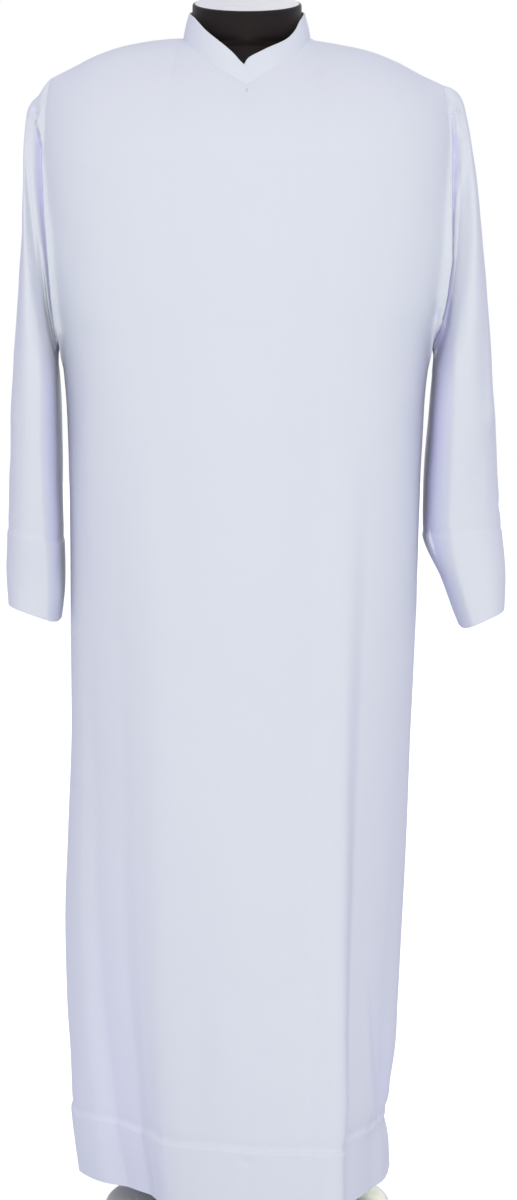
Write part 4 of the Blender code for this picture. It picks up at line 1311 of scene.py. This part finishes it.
def build_cloth(name, grid, normals, thickness, fold_shade, closed, turned):
    """A cloth piece from its outer grid; turned is -1 where the grid runs the other way round."""
    rows, columns = grid.shape[:2]
    points = np.concatenate([grid.reshape(-1, 3), (grid - normals * thickness[..., None]).reshape(-1, 3)])
    faces = grid_faces(rows, columns, closed, turned)
    mesh = bpy.data.meshes.new(name)
    mesh.from_pydata(points.tolist(), [], faces.tolist())
    down, across, _ = edge_distances(grid, closed)
    threads = np.stack([across - across[:, columns // 2][:, None], -down], -1)
    lay_threads(mesh, np.concatenate([threads, threads]))
    mesh.validate()
    # The painted fold shade goes on both skins, as a point attribute read by the cloth material.
    painted_layer = mesh.attributes.new("painted_fold_shade", "FLOAT", "POINT")
    painted_layer.data.foreach_set("value", np.tile(fold_shade.ravel(), 2).astype(np.float32))
    return finish_piece(mesh, 50, ALB_CLOTH)


print("helpers ready for", ALB_CLOTH.name)

# %% [markdown]
# The front panel is cut in one, from the shoulder seams to the hem. Its fine grid has the solid's form.
# The steps go on in the order in which a maker would see them: slow unevenness, the swell beside the
# seams, the creases, and last the turned hem, which lies over everything else.

# %% Front panel
FRONT_SEED = 1.3


def finish_panel(grid, facing, seed):
    """A panel's finished outer points, their outward directions, its thickness and its painted fold shade."""
    normals = grid_normals(grid, False, -facing)
    down, across, aside = edge_distances(grid, False)
    fade = smooth_step(0.0, EDGE_FADE, np.minimum(aside, down))
    shaped = add_unevenness(grid, normals, fade, PANEL_WANDER, seed)
    shaped = add_unevenness(shaped, normals, fade, SMALL_WANDER, seed + 9)
    shaped = shaped + normals * seam_swell(np.minimum(aside, down))[..., None]
    shaped, fold_shade = press_creases(shaped, normals, ARMHOLE_CREASES + PANEL_CREASES, 1.0)
    above = grid[..., 2] - HEM_LINE
    along = across - across[:, grid.shape[1] // 2][:, None]
    shaped = turned_hem(shaped, normals, above, along, HEM_PROUD, seed)
    thickness = np.where(above < FOLDED_BELOW, 2 * CLOTH_THICKNESS, CLOTH_THICKNESS)
    return shaped, grid_normals(shaped, False, -facing), thickness, fold_shade


front_points, front_out, front_thickness, front_fold_shade = finish_panel(front_grid, FRONT, FRONT_SEED)
alb_front = build_cloth("alb_front_cloth", front_points, front_out, front_thickness, front_fold_shade, False, 1)

# %% [markdown]
# The back panel isn't seen in the picture, but a garment is looked at from all sides. It gets the same
# steps as the front, with folds, troughs and a seed of its own, so that it isn't the front once more.

# %% Back panel
BACK_SEED = 4.1

back_points, back_out, back_thickness, back_fold_shade = finish_panel(back_grid, BACK, BACK_SEED)
alb_back = build_cloth("alb_back_cloth", back_points, back_out, back_thickness, back_fold_shade, False, -1)

# %% [markdown]
# A set-in sleeve is one piece, closed by a seam under the arm. It is pressed in two turns. Creases that
# it shares with the panels move its upper edge too, by the same amount, so that the seam stays shut. Its
# own creases leave that edge alone and grow just below it, which gives the sharp fold along the armhole.

# %% Sleeves
SLEEVE_NAMES = {LEFT: "alb_sleeve_left_cloth", RIGHT: "alb_sleeve_right_cloth"}
SLOW_SLEEVE_SEED = 7.7
SMALL_SLEEVE_SEED = 2.2
CUFF_SEED = 5.0
CREASE_START = 0.0030


def finish_sleeve(side):
    """A finished sleeve, and the points of its stitched cuff line."""
    grid = sleeve_grids[side]
    turned = 1 if side == LEFT else -1
    normals = grid_normals(grid, True, turned)
    down, across, _ = edge_distances(grid, True)
    fade = smooth_step(0.0, EDGE_FADE, down)
    shaped = add_unevenness(grid, normals, fade, SLEEVE_WANDER, SLOW_SLEEVE_SEED + side)
    shaped = add_unevenness(shaped, normals, fade, SMALL_WANDER, SMALL_SLEEVE_SEED + side)
    shaped = shaped + normals * seam_swell(down)[..., None]
    shaped, _ = press_creases(shaped, normals, ARMHOLE_CREASES, 1.0)
    shaped, fold_shade = press_creases(shaped, normals, SLEEVE_CREASES, smooth_step(0.0, CREASE_START, down))
    times = np.array([share - 1 for share in JOINING_SHARES] + sleeve_times())
    line = int(np.argmin(np.abs(times - CUFF_LINE_ROW)))
    above = down[line][None, :] - down
    shaped = turned_hem(shaped, normals, above, across, CUFF_PROUD, CUFF_SEED + side)
    thickness = np.where(above < FOLDED_BELOW, 2 * CLOTH_THICKNESS, CLOTH_THICKNESS)
    out = grid_normals(shaped, True, turned)
    return build_cloth(SLEEVE_NAMES[side], shaped, out, thickness, fold_shade, True, turned), shaped[line]


alb_sleeve_left, left_cuff_line = finish_sleeve(LEFT)
alb_sleeve_right, right_cuff_line = finish_sleeve(RIGHT)

# %% [markdown]
# The collar is one doubled, stiffened band. Its section is drawn as a closed loop: up the outside, over
# a rounded edge and down the inside. Swept round the neck from one front end to the other, it gives
# the thin bright rim that a pressed edge catches. The seam tucks in behind the panels' upper edges.

# %% Collar
COLLAR_THICKNESS = 0.0021
COLLAR_STEPS = 168
COLLAR_RISES = 12
COLLAR_TUCK = 0.0025
COLLAR_SWELL = 0.0007
NOTCH_SHIFT = 0.0032
NOTCH_SPREAD = 10.0


def collar_sections():
    """Rows of points round the band's section, for angles from its left front end to its right one."""
    angles = np.linspace(0.0, -360.0, COLLAR_STEPS)
    base, out, up = neck_points(angles)
    turn = np.radians(angles)
    bend = np.abs((angles + 180) % 360 - 180)
    left_top = read_curve(COLLAR_ROWS, "left_top", bend)
    right_top = read_curve(COLLAR_ROWS, "right_top", bend)
    top_height = np.where(angles > -180, left_top, right_top)
    reach = np.where(bend < 90, COLLAR_FRONT, COLLAR_BACK)
    top = np.stack([COLLAR_SIDE * np.sin(turn), -reach * np.cos(turn), top_height], 1)
    top[:, 0] -= NOTCH_SHIFT * np.exp(-((bend / NOTCH_SPREAD) ** 2))
    flat = unit_rows(np.stack([np.sin(turn) / COLLAR_SIDE, -np.cos(turn) / reach, 0 * turn], 1))
    radius = COLLAR_THICKNESS / 2
    rise = unit_rows(top - base)
    rows = [base - up * COLLAR_TUCK - out * COLLAR_TUCK / 3]
    leans = []
    for i in range(COLLAR_RISES + 1):
        share = i / COLLAR_RISES
        swell = COLLAR_SWELL * math.sin(math.pi * share)
        rows.append(base + (top - rise * radius - base) * share + flat * swell)
        leans.append(unit_rows(out * (1 - share) + flat * share))
    centre = rows[-1] - flat * radius
    over = np.linspace(0, math.pi, 7)[1:-1]
    rim = [centre + flat * radius * math.cos(a) + rise * radius * math.sin(a) for a in over]
    inside = [row - lean * COLLAR_THICKNESS for row, lean in zip(rows[1:], leans)]
    return np.array(rows + rim + inside[::-1])


def build_collar():
    grid = collar_sections()
    rows, columns = grid.shape[:2]
    number = np.arange(rows * columns).reshape(rows, columns)
    below = np.roll(number, -1, axis=0)
    faces = np.stack([number[:, :-1], number[:, 1:], below[:, 1:], below[:, :-1]], -1).reshape(-1, 4).tolist()
    faces.append(number[:, 0].tolist())
    faces.append(number[::-1, -1].tolist())
    mesh = bpy.data.meshes.new("alb_collar_cloth")
    mesh.from_pydata(grid.reshape(-1, 3).tolist(), [], faces)
    editing = bmesh.new()
    editing.from_mesh(mesh)
    bmesh.ops.recalc_face_normals(editing, faces=editing.faces)
    editing.to_mesh(mesh)
    editing.free()
    down, across, _ = edge_distances(grid, False)
    lay_threads(mesh, np.stack([across, down], -1))
    return finish_piece(mesh, 50, COLLAR_CLOTH), grid


alb_collar, collar_grid = build_collar()

# %% [markdown]
# Both hems are sewn by machine, with a short stitch every three millimetres. One Geometry Nodes tree
# makes any such line: it reads a path, sets points along it at the stitch pitch, and lays a tiny
# thread on each, turned along the path. Length and thickness vary a little, from a fixed seed.

# %% Stitch tree
SHORTEST_STITCH = 0.88
LONGEST_STITCH = 1.08


def build_stitch_tree():
    tree = bpy.data.node_groups.new("machine_stitches", "GeometryNodeTree")
    tree.interface.new_socket("Path", in_out="INPUT", socket_type="NodeSocketGeometry")
    for label in ("Stitch Pitch", "Stitch Length", "Thread Radius"):
        tree.interface.new_socket(label, in_out="INPUT", socket_type="NodeSocketFloat")
    tree.interface.new_socket("Seed", in_out="INPUT", socket_type="NodeSocketInt")
    tree.interface.new_socket("Thread", in_out="INPUT", socket_type="NodeSocketMaterial")
    tree.interface.new_socket("Stitches", in_out="OUTPUT", socket_type="NodeSocketGeometry")
    node = {}
    for label, kind in (
        ("start", "NodeGroupInput"), ("end", "NodeGroupOutput"), ("curve", "GeometryNodeMeshToCurve"),
        ("points", "GeometryNodeCurveToPoints"), ("turn", "FunctionNodeAlignRotationToVector"),
        ("thread", "GeometryNodeMeshUVSphere"), ("half", "ShaderNodeMath"), ("size", "ShaderNodeCombineXYZ"),
        ("vary", "FunctionNodeRandomValue"), ("scale", "ShaderNodeVectorMath"),
        ("lay", "GeometryNodeInstanceOnPoints"), ("real", "GeometryNodeRealizeInstances"),
        ("smooth", "GeometryNodeSetShadeSmooth"), ("paint", "GeometryNodeSetMaterial"),
    ):
        node[label] = tree.nodes.new(kind)
    node["points"].mode = "LENGTH"
    node["turn"].axis = "X"
    node["half"].operation = "MULTIPLY"
    node["half"].inputs[1].default_value = 0.5
    node["scale"].operation = "SCALE"
    node["thread"].inputs["Segments"].default_value = 6
    node["thread"].inputs["Rings"].default_value = 4
    node["thread"].inputs["Radius"].default_value = 1.0
    node["vary"].data_type = "FLOAT"
    node["vary"].inputs[2].default_value = SHORTEST_STITCH
    node["vary"].inputs[3].default_value = LONGEST_STITCH
    vary_out = next(socket for socket in node["vary"].outputs if socket.enabled)
    vary_seed = next(socket for socket in node["vary"].inputs if socket.name == "Seed")
    start = node["start"].outputs
    for first, second in (
        (start["Path"], node["curve"].inputs["Mesh"]),
        (node["curve"].outputs["Curve"], node["points"].inputs["Curve"]),
        (start["Stitch Pitch"], node["points"].inputs["Length"]),
        (node["points"].outputs["Tangent"], node["turn"].inputs["Vector"]),
        (start["Stitch Length"], node["half"].inputs[0]),
        (node["half"].outputs[0], node["size"].inputs["X"]),
        (start["Thread Radius"], node["size"].inputs["Y"]),
        (start["Thread Radius"], node["size"].inputs["Z"]),
        (start["Seed"], vary_seed),
        (node["size"].outputs[0], node["scale"].inputs[0]),
        (vary_out, node["scale"].inputs["Scale"]),
        (node["points"].outputs["Points"], node["lay"].inputs["Points"]),
        (node["thread"].outputs["Mesh"], node["lay"].inputs["Instance"]),
        (node["turn"].outputs["Rotation"], node["lay"].inputs["Rotation"]),
        (node["scale"].outputs[0], node["lay"].inputs["Scale"]),
        (node["lay"].outputs["Instances"], node["real"].inputs["Geometry"]),
        (node["real"].outputs["Geometry"], node["smooth"].inputs["Geometry"]),
        (node["smooth"].outputs["Geometry"], node["paint"].inputs["Geometry"]),
        (start["Thread"], node["paint"].inputs["Material"]),
        (node["paint"].outputs["Geometry"], node["end"].inputs["Stitches"]),
    ):
        tree.links.new(first, second)
    return tree


STITCHES = build_stitch_tree()
print("stitch tree:", len(STITCHES.nodes), "nodes")

# %% [markdown]
# The tree works on a bare line of edges, which is a row of the finished cloth, so the stitches lie on its
# surface wherever it goes. The result is turned into a plain mesh, and the line with its modifier goes.

# %% Stitches
STITCH_PITCH = 0.0031
STITCH_LENGTH = 0.0025
THREAD_RADIUS = 0.0002
STITCH_SEED = 7


def sew_line(name, points, closed):
    """A line of stitches along points, as a plain mesh."""
    count = len(points)
    steps = [(i, (i + 1) % count) for i in range(count if closed else count - 1)]
    path = bpy.data.meshes.new(name + "_path")
    path.from_pydata(points.tolist(), steps, [])
    host = bpy.data.objects.new(name + "_path", path)
    bpy.context.collection.objects.link(host)
    sewing = host.modifiers.new("stitches", "NODES")
    sewing.node_group = STITCHES
    sockets = [socket for socket in STITCHES.interface.items_tree if socket.in_out == "INPUT"]
    identifiers = {socket.name: socket.identifier for socket in sockets}
    sewing[identifiers["Stitch Pitch"]] = STITCH_PITCH
    sewing[identifiers["Stitch Length"]] = STITCH_LENGTH
    sewing[identifiers["Thread Radius"]] = THREAD_RADIUS
    sewing[identifiers["Seed"]] = STITCH_SEED
    sewing[identifiers["Thread"]] = THREAD
    ready = host.evaluated_get(bpy.context.evaluated_depsgraph_get())
    mesh = bpy.data.meshes.new_from_object(ready)
    mesh.name = name
    bpy.data.objects.remove(host, do_unlink=True)
    bpy.data.meshes.remove(path)
    piece = bpy.data.objects.new(name, mesh)
    bpy.context.collection.objects.link(piece)
    print(name, len(mesh.polygons), "faces")
    return piece


def panel_line(points, heights):
    """The points of a panel's row on its stitched line."""
    return points[int(np.argmin(np.abs(heights - HEM_LINE)))]


front_stitches = sew_line("front_hem_stitches", panel_line(front_points, front_grid[:, 0, 2]), False)
back_stitches = sew_line("back_hem_stitches", panel_line(back_points, back_grid[:, 0, 2]), False)
left_stitches = sew_line("left_cuff_stitches", left_cuff_line, True)
right_stitches = sew_line("right_cuff_stitches", right_cuff_line, True)

# %% [markdown]
# The front closes out of sight, with one edge lapped under the other. All that shows is a short bar
# tack, sewn across the end of the opening a few centimetres under the notch, on the slant.

# %% Bar tack
TACK_ENDS = ((0.0009, 1.3887), (-0.0002, 1.3840))
TACK_RADIUS = 0.0005


def build_tack():
    """A rounded bar of thread, half sunk in the front panel between its two ends."""
    flat = front_points[..., (0, 2)].reshape(-1, 2)
    ends = []
    for end in TACK_ENDS:
        nearest = int(np.argmin(np.linalg.norm(flat - np.array(end), axis=1)))
        depth = front_points.reshape(-1, 3)[nearest][1]
        ends.append(Vector((end[0], depth - TACK_RADIUS * 0.4, end[1])))
    along = ends[1] - ends[0]
    threads = bmesh.new()
    bmesh.ops.create_uvsphere(threads, u_segments=10, v_segments=8, radius=1.0)
    bmesh.ops.scale(threads, verts=threads.verts, vec=(TACK_RADIUS, TACK_RADIUS, along.length / 2))
    slant = along.to_track_quat("Z", "Y").to_matrix()
    bmesh.ops.rotate(threads, verts=threads.verts, cent=(0, 0, 0), matrix=slant)
    bmesh.ops.translate(threads, verts=threads.verts, vec=(ends[0] + ends[1]) / 2)
    mesh = bpy.data.meshes.new("closure_bar_tack")
    threads.to_mesh(mesh)
    threads.free()
    return finish_piece(mesh, 180, TACK_THREAD)


bar_tack = build_tack()

# %% [markdown]
# The dress form is turned in smooth rings: hips, waist, chest, shoulders just under the cloth, and a
# neck with a slanting cap. The tables are those of its solid. Rows of the body give height, half width,
# front and back depth and squareness. The yoke's half widths come from the cloth's shoulder line, so that
# the form always lies just under it.

# %% Table of the form
WALL = 0.0018
SLANT_ALLOWANCE = 1.08
FORM_CLEARANCE = 0.0006
FORM_SHOULDER = 0.208
FORM_NECK_HALF_WIDTH = 0.0668
FORM_NECK_FRONT = 0.062
FORM_NECK_BACK = 0.060
FORM_NECK_TOP = 1.503
FORM_NECK_SLOPE = math.tan(math.radians(17.0))
FORM_EDGE = 0.003

FormRow = namedtuple("FormRow", "number height left right front back square slope")
FORM_BODY = (
    (0.800, 0.150, 0.098, 0.104, 2.2),
    (0.812, 0.163, 0.107, 0.113, 2.2),
    (0.850, 0.176, 0.115, 0.122, 2.2),
    (0.920, 0.181, 0.118, 0.125, 2.2),
    (1.000, 0.168, 0.112, 0.114, 2.2),
    (1.060, 0.158, 0.107, 0.104, 2.2),
    (1.140, 0.165, 0.113, 0.107, 2.2),
    (1.240, 0.184, 0.121, 0.114, 2.3),
    (1.310, 0.194, 0.116, 0.113, 2.3),
    (1.360, 0.203, 0.099, 0.103, 2.2),
    (1.390, 0.208, 0.084, 0.091, 2.1),
)
FORM_YOKE = (
    (1.404, 0.076, 0.083, 1.85),
    (1.414, 0.070, 0.077, 1.65),
    (1.424, 0.066, 0.071, 1.38),
    (1.434, 0.063, 0.066, 1.20),
    (1.443, 0.059, 0.060, 1.05),
)
FORM_NECK = ((1.4505, 0.0790, 1.35), (1.4560, 0.0725, 1.70), (1.4630, 0.0690, 1.90), (1.4730, 0.0670, 2.00))


def form_reach(height, side):
    """How far out the form's shoulder ridge lies at a height: just under the cloth's shoulder seam."""
    drop = WALL * SLANT_ALLOWANCE + FORM_CLEARANCE
    low, high = NECKLINE_SIDE, FORM_SHOULDER
    for _ in range(HALVINGS):
        distance = (low + high) / 2
        above = float(shoulder_height(distance, side)) - drop > height
        low, high = (distance, high) if above else (low, distance)
    return (low + high) / 2


def form_rows():
    rows = []
    for height, half_width, front, back, square in FORM_BODY:
        rows.append((height, half_width, half_width, front, back, square, 0.0))
    for height, front, back, square in FORM_YOKE:
        rows.append((height, form_reach(height, LEFT), form_reach(height, RIGHT), front, back, square, 0.0))
    for height, half_width, square in FORM_NECK:
        rows.append((height, half_width, half_width, FORM_NECK_FRONT, FORM_NECK_BACK, square, 0.0))
    width, front, back = FORM_NECK_HALF_WIDTH, FORM_NECK_FRONT, FORM_NECK_BACK
    rows.append((FORM_NECK_TOP - FORM_EDGE, width, width, front, back, 2.0, FORM_NECK_SLOPE))
    return [FormRow(i, *row) for i, row in enumerate(rows)]


print("form table:", len(form_rows()), "rings")

# %% [markdown]
# Each ring is a superellipse again, and the rings are read at many more places than the table has. The
# cap's edge is rounded over with a few rings more, and the cap itself is closed by shrinking its rim.

# %% Dress form
FORM_SEGMENTS = 96
FORM_STEPS_A_ROW = 5
ROUNDING_STEPS = 5
CAP_SHARES = (0.985, 0.8, 0.5, 0.2)
UNDERSIDE_SHARES = (0.3, 0.9)
CAP_RINGS = len(CAP_SHARES) + 1


def form_ring(height, left, right, front, back, square, slope):
    turn = np.linspace(0, 2 * math.pi, FORM_SEGMENTS, endpoint=False)
    sine, cosine = np.sin(turn), np.cos(turn)
    across = np.sign(sine) * np.abs(sine) ** (2 / square) * np.where(sine > 0, right, left)
    along = -np.sign(cosine) * np.abs(cosine) ** (2 / square) * np.where(cosine > 0, front, back)
    return np.stack([across, along, height + slope * along], 1)


def build_form():
    """The form's rings joined into one closed skin, with the cap's faces painted."""
    rows = form_rows()
    numbers = fill_between((0.0, float(len(rows) - 1)), 1 / FORM_STEPS_A_ROW)
    columns = [read_curve(rows, column, np.array(numbers)) for column in FormRow._fields[1:]]
    rings = [form_ring(*values) for values in zip(*columns)]
    for turn in np.linspace(0, math.pi / 2, ROUNDING_STEPS + 1)[1:]:
        inset = FORM_EDGE * (1 - math.cos(turn))
        height = FORM_NECK_TOP - FORM_EDGE + FORM_EDGE * math.sin(turn)
        width = FORM_NECK_HALF_WIDTH - inset
        front, back = FORM_NECK_FRONT - inset, FORM_NECK_BACK - inset
        rings.append(form_ring(height, width, width, front, back, 2.0, FORM_NECK_SLOPE))
    rim = rings[-1]
    middle = rim.mean(axis=0)
    rings += [middle + (rim - middle) * share for share in CAP_SHARES]
    under = rings[0].mean(axis=0)
    rings = [under + (rings[0] - under) * share for share in UNDERSIDE_SHARES] + rings
    grid = np.array(rings)
    mesh = bpy.data.meshes.new("dress_form_jersey")
    count, segments = grid.shape[:2]
    number = np.arange(count * segments).reshape(count, segments)
    beside = np.roll(number, -1, axis=1)
    faces = np.stack([number[:-1], beside[:-1], beside[1:], number[1:]], -1).reshape(-1, 4).tolist()
    faces.append(number[0, ::-1].tolist())
    faces.append(number[-1].tolist())
    mesh.from_pydata(grid.reshape(-1, 3).tolist(), [], faces)
    down, across, _ = edge_distances(grid, True)
    lay_threads(mesh, np.stack([across, down], -1))
    piece = finish_piece(mesh, 40, FORM_JERSEY, STAND_PAINT)
    for face in mesh.polygons:
        if min(face.vertices) >= (count - CAP_RINGS) * segments:
            face.material_index = 1
    return piece


dress_form = build_form()

# %% [markdown]
# The pole and the weighted base are turned shapes, made by spinning a short profile round the upright
# axis. More steps than the solids have keep the rims round in a close view.

# %% Pole and base
POLE_RADIUS = 0.014
POLE_EDGE = 0.0006
BASE_RADIUS = 0.180
BASE_EDGE = 0.0008
SPIN_STEPS = 96
BASE_DOME = (
    (0.0, 0.0200),
    (0.0285, 0.0200),
    (0.0300, 0.0195),
    (0.0600, 0.0178),
    (0.1080, 0.0150),
    (0.1500, 0.0121),
    (0.1720, 0.0104),
    (0.1766, 0.0097),
    (0.1790, 0.0084),
    (BASE_RADIUS, 0.0066),
)


def spin_profile(name, profile):
    """A turned, painted piece from (radius, height) points, closed on the axis at both ends."""
    turning = bmesh.new()
    points = [turning.verts.new((radius, 0.0, height)) for radius, height in profile]
    line = points + [turning.edges.new(pair) for pair in zip(points, points[1:])]
    bmesh.ops.spin(turning, geom=line, axis=(0, 0, 1), cent=(0, 0, 0), angle=2 * math.pi, steps=SPIN_STEPS)
    bmesh.ops.remove_doubles(turning, verts=turning.verts, dist=0.00003)
    bmesh.ops.recalc_face_normals(turning, faces=turning.faces)
    mesh = bpy.data.meshes.new(name)
    turning.to_mesh(mesh)
    turning.free()
    return finish_piece(mesh, 35, STAND_PAINT)


def pole_profile(low, high):
    rim = POLE_RADIUS - POLE_EDGE
    upper = ((0.0, high), (rim, high), (POLE_RADIUS, high - POLE_EDGE))
    return upper + ((POLE_RADIUS, low + POLE_EDGE), (rim, low), (0.0, low))


pole_low, pole_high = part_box("stand_pole")
stand_pole = spin_profile("stand_pole_tube", pole_profile(pole_low[2], pole_high[2]))
base_foot = ((BASE_RADIUS, BASE_EDGE), (BASE_RADIUS - BASE_EDGE, 0.0), (0.0, 0.0))
stand_base = spin_profile("stand_base_disc", BASE_DOME + base_foot)

# %% [markdown]
# Each new piece rides on the part's one body and stands for its solid, which is hidden. The stitches
# and the bar tack ride on the same body.


# Each piece, its grid, whether that closes on itself, how it is held, what it rests on, what is sewn on
SHEETS = (
    (alb_front, front_grid, False, "draped", ["dress_form"], [front_stitches, bar_tack]),
    (alb_back, back_grid, False, "draped", ["dress_form"], [back_stitches]),
    (alb_sleeve_left, sleeve_grids[LEFT], True, "hung", ["alb_front"], [left_stitches]),
    (alb_sleeve_right, sleeve_grids[RIGHT], True, "hung", ["alb_front"], [right_stitches]),
    (alb_collar, collar_grid[: COLLAR_RISES + 2], False, "stretched", ["dress_form"], []),
)
for piece, grid, closed, held, rests_on, sewn_on in SHEETS:
    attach(piece, "root")
    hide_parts(piece.name.removesuffix("_cloth"))
    for trim in sewn_on:
        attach(trim, "root")

for piece, node, slot in (
    (dress_form, "dress_form", "form_cover"),
    (stand_pole, "stand_pole", "stand_metal"),
    (stand_base, "stand_base", "stand_metal"),
):
    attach(piece, "root")
    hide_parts(node)
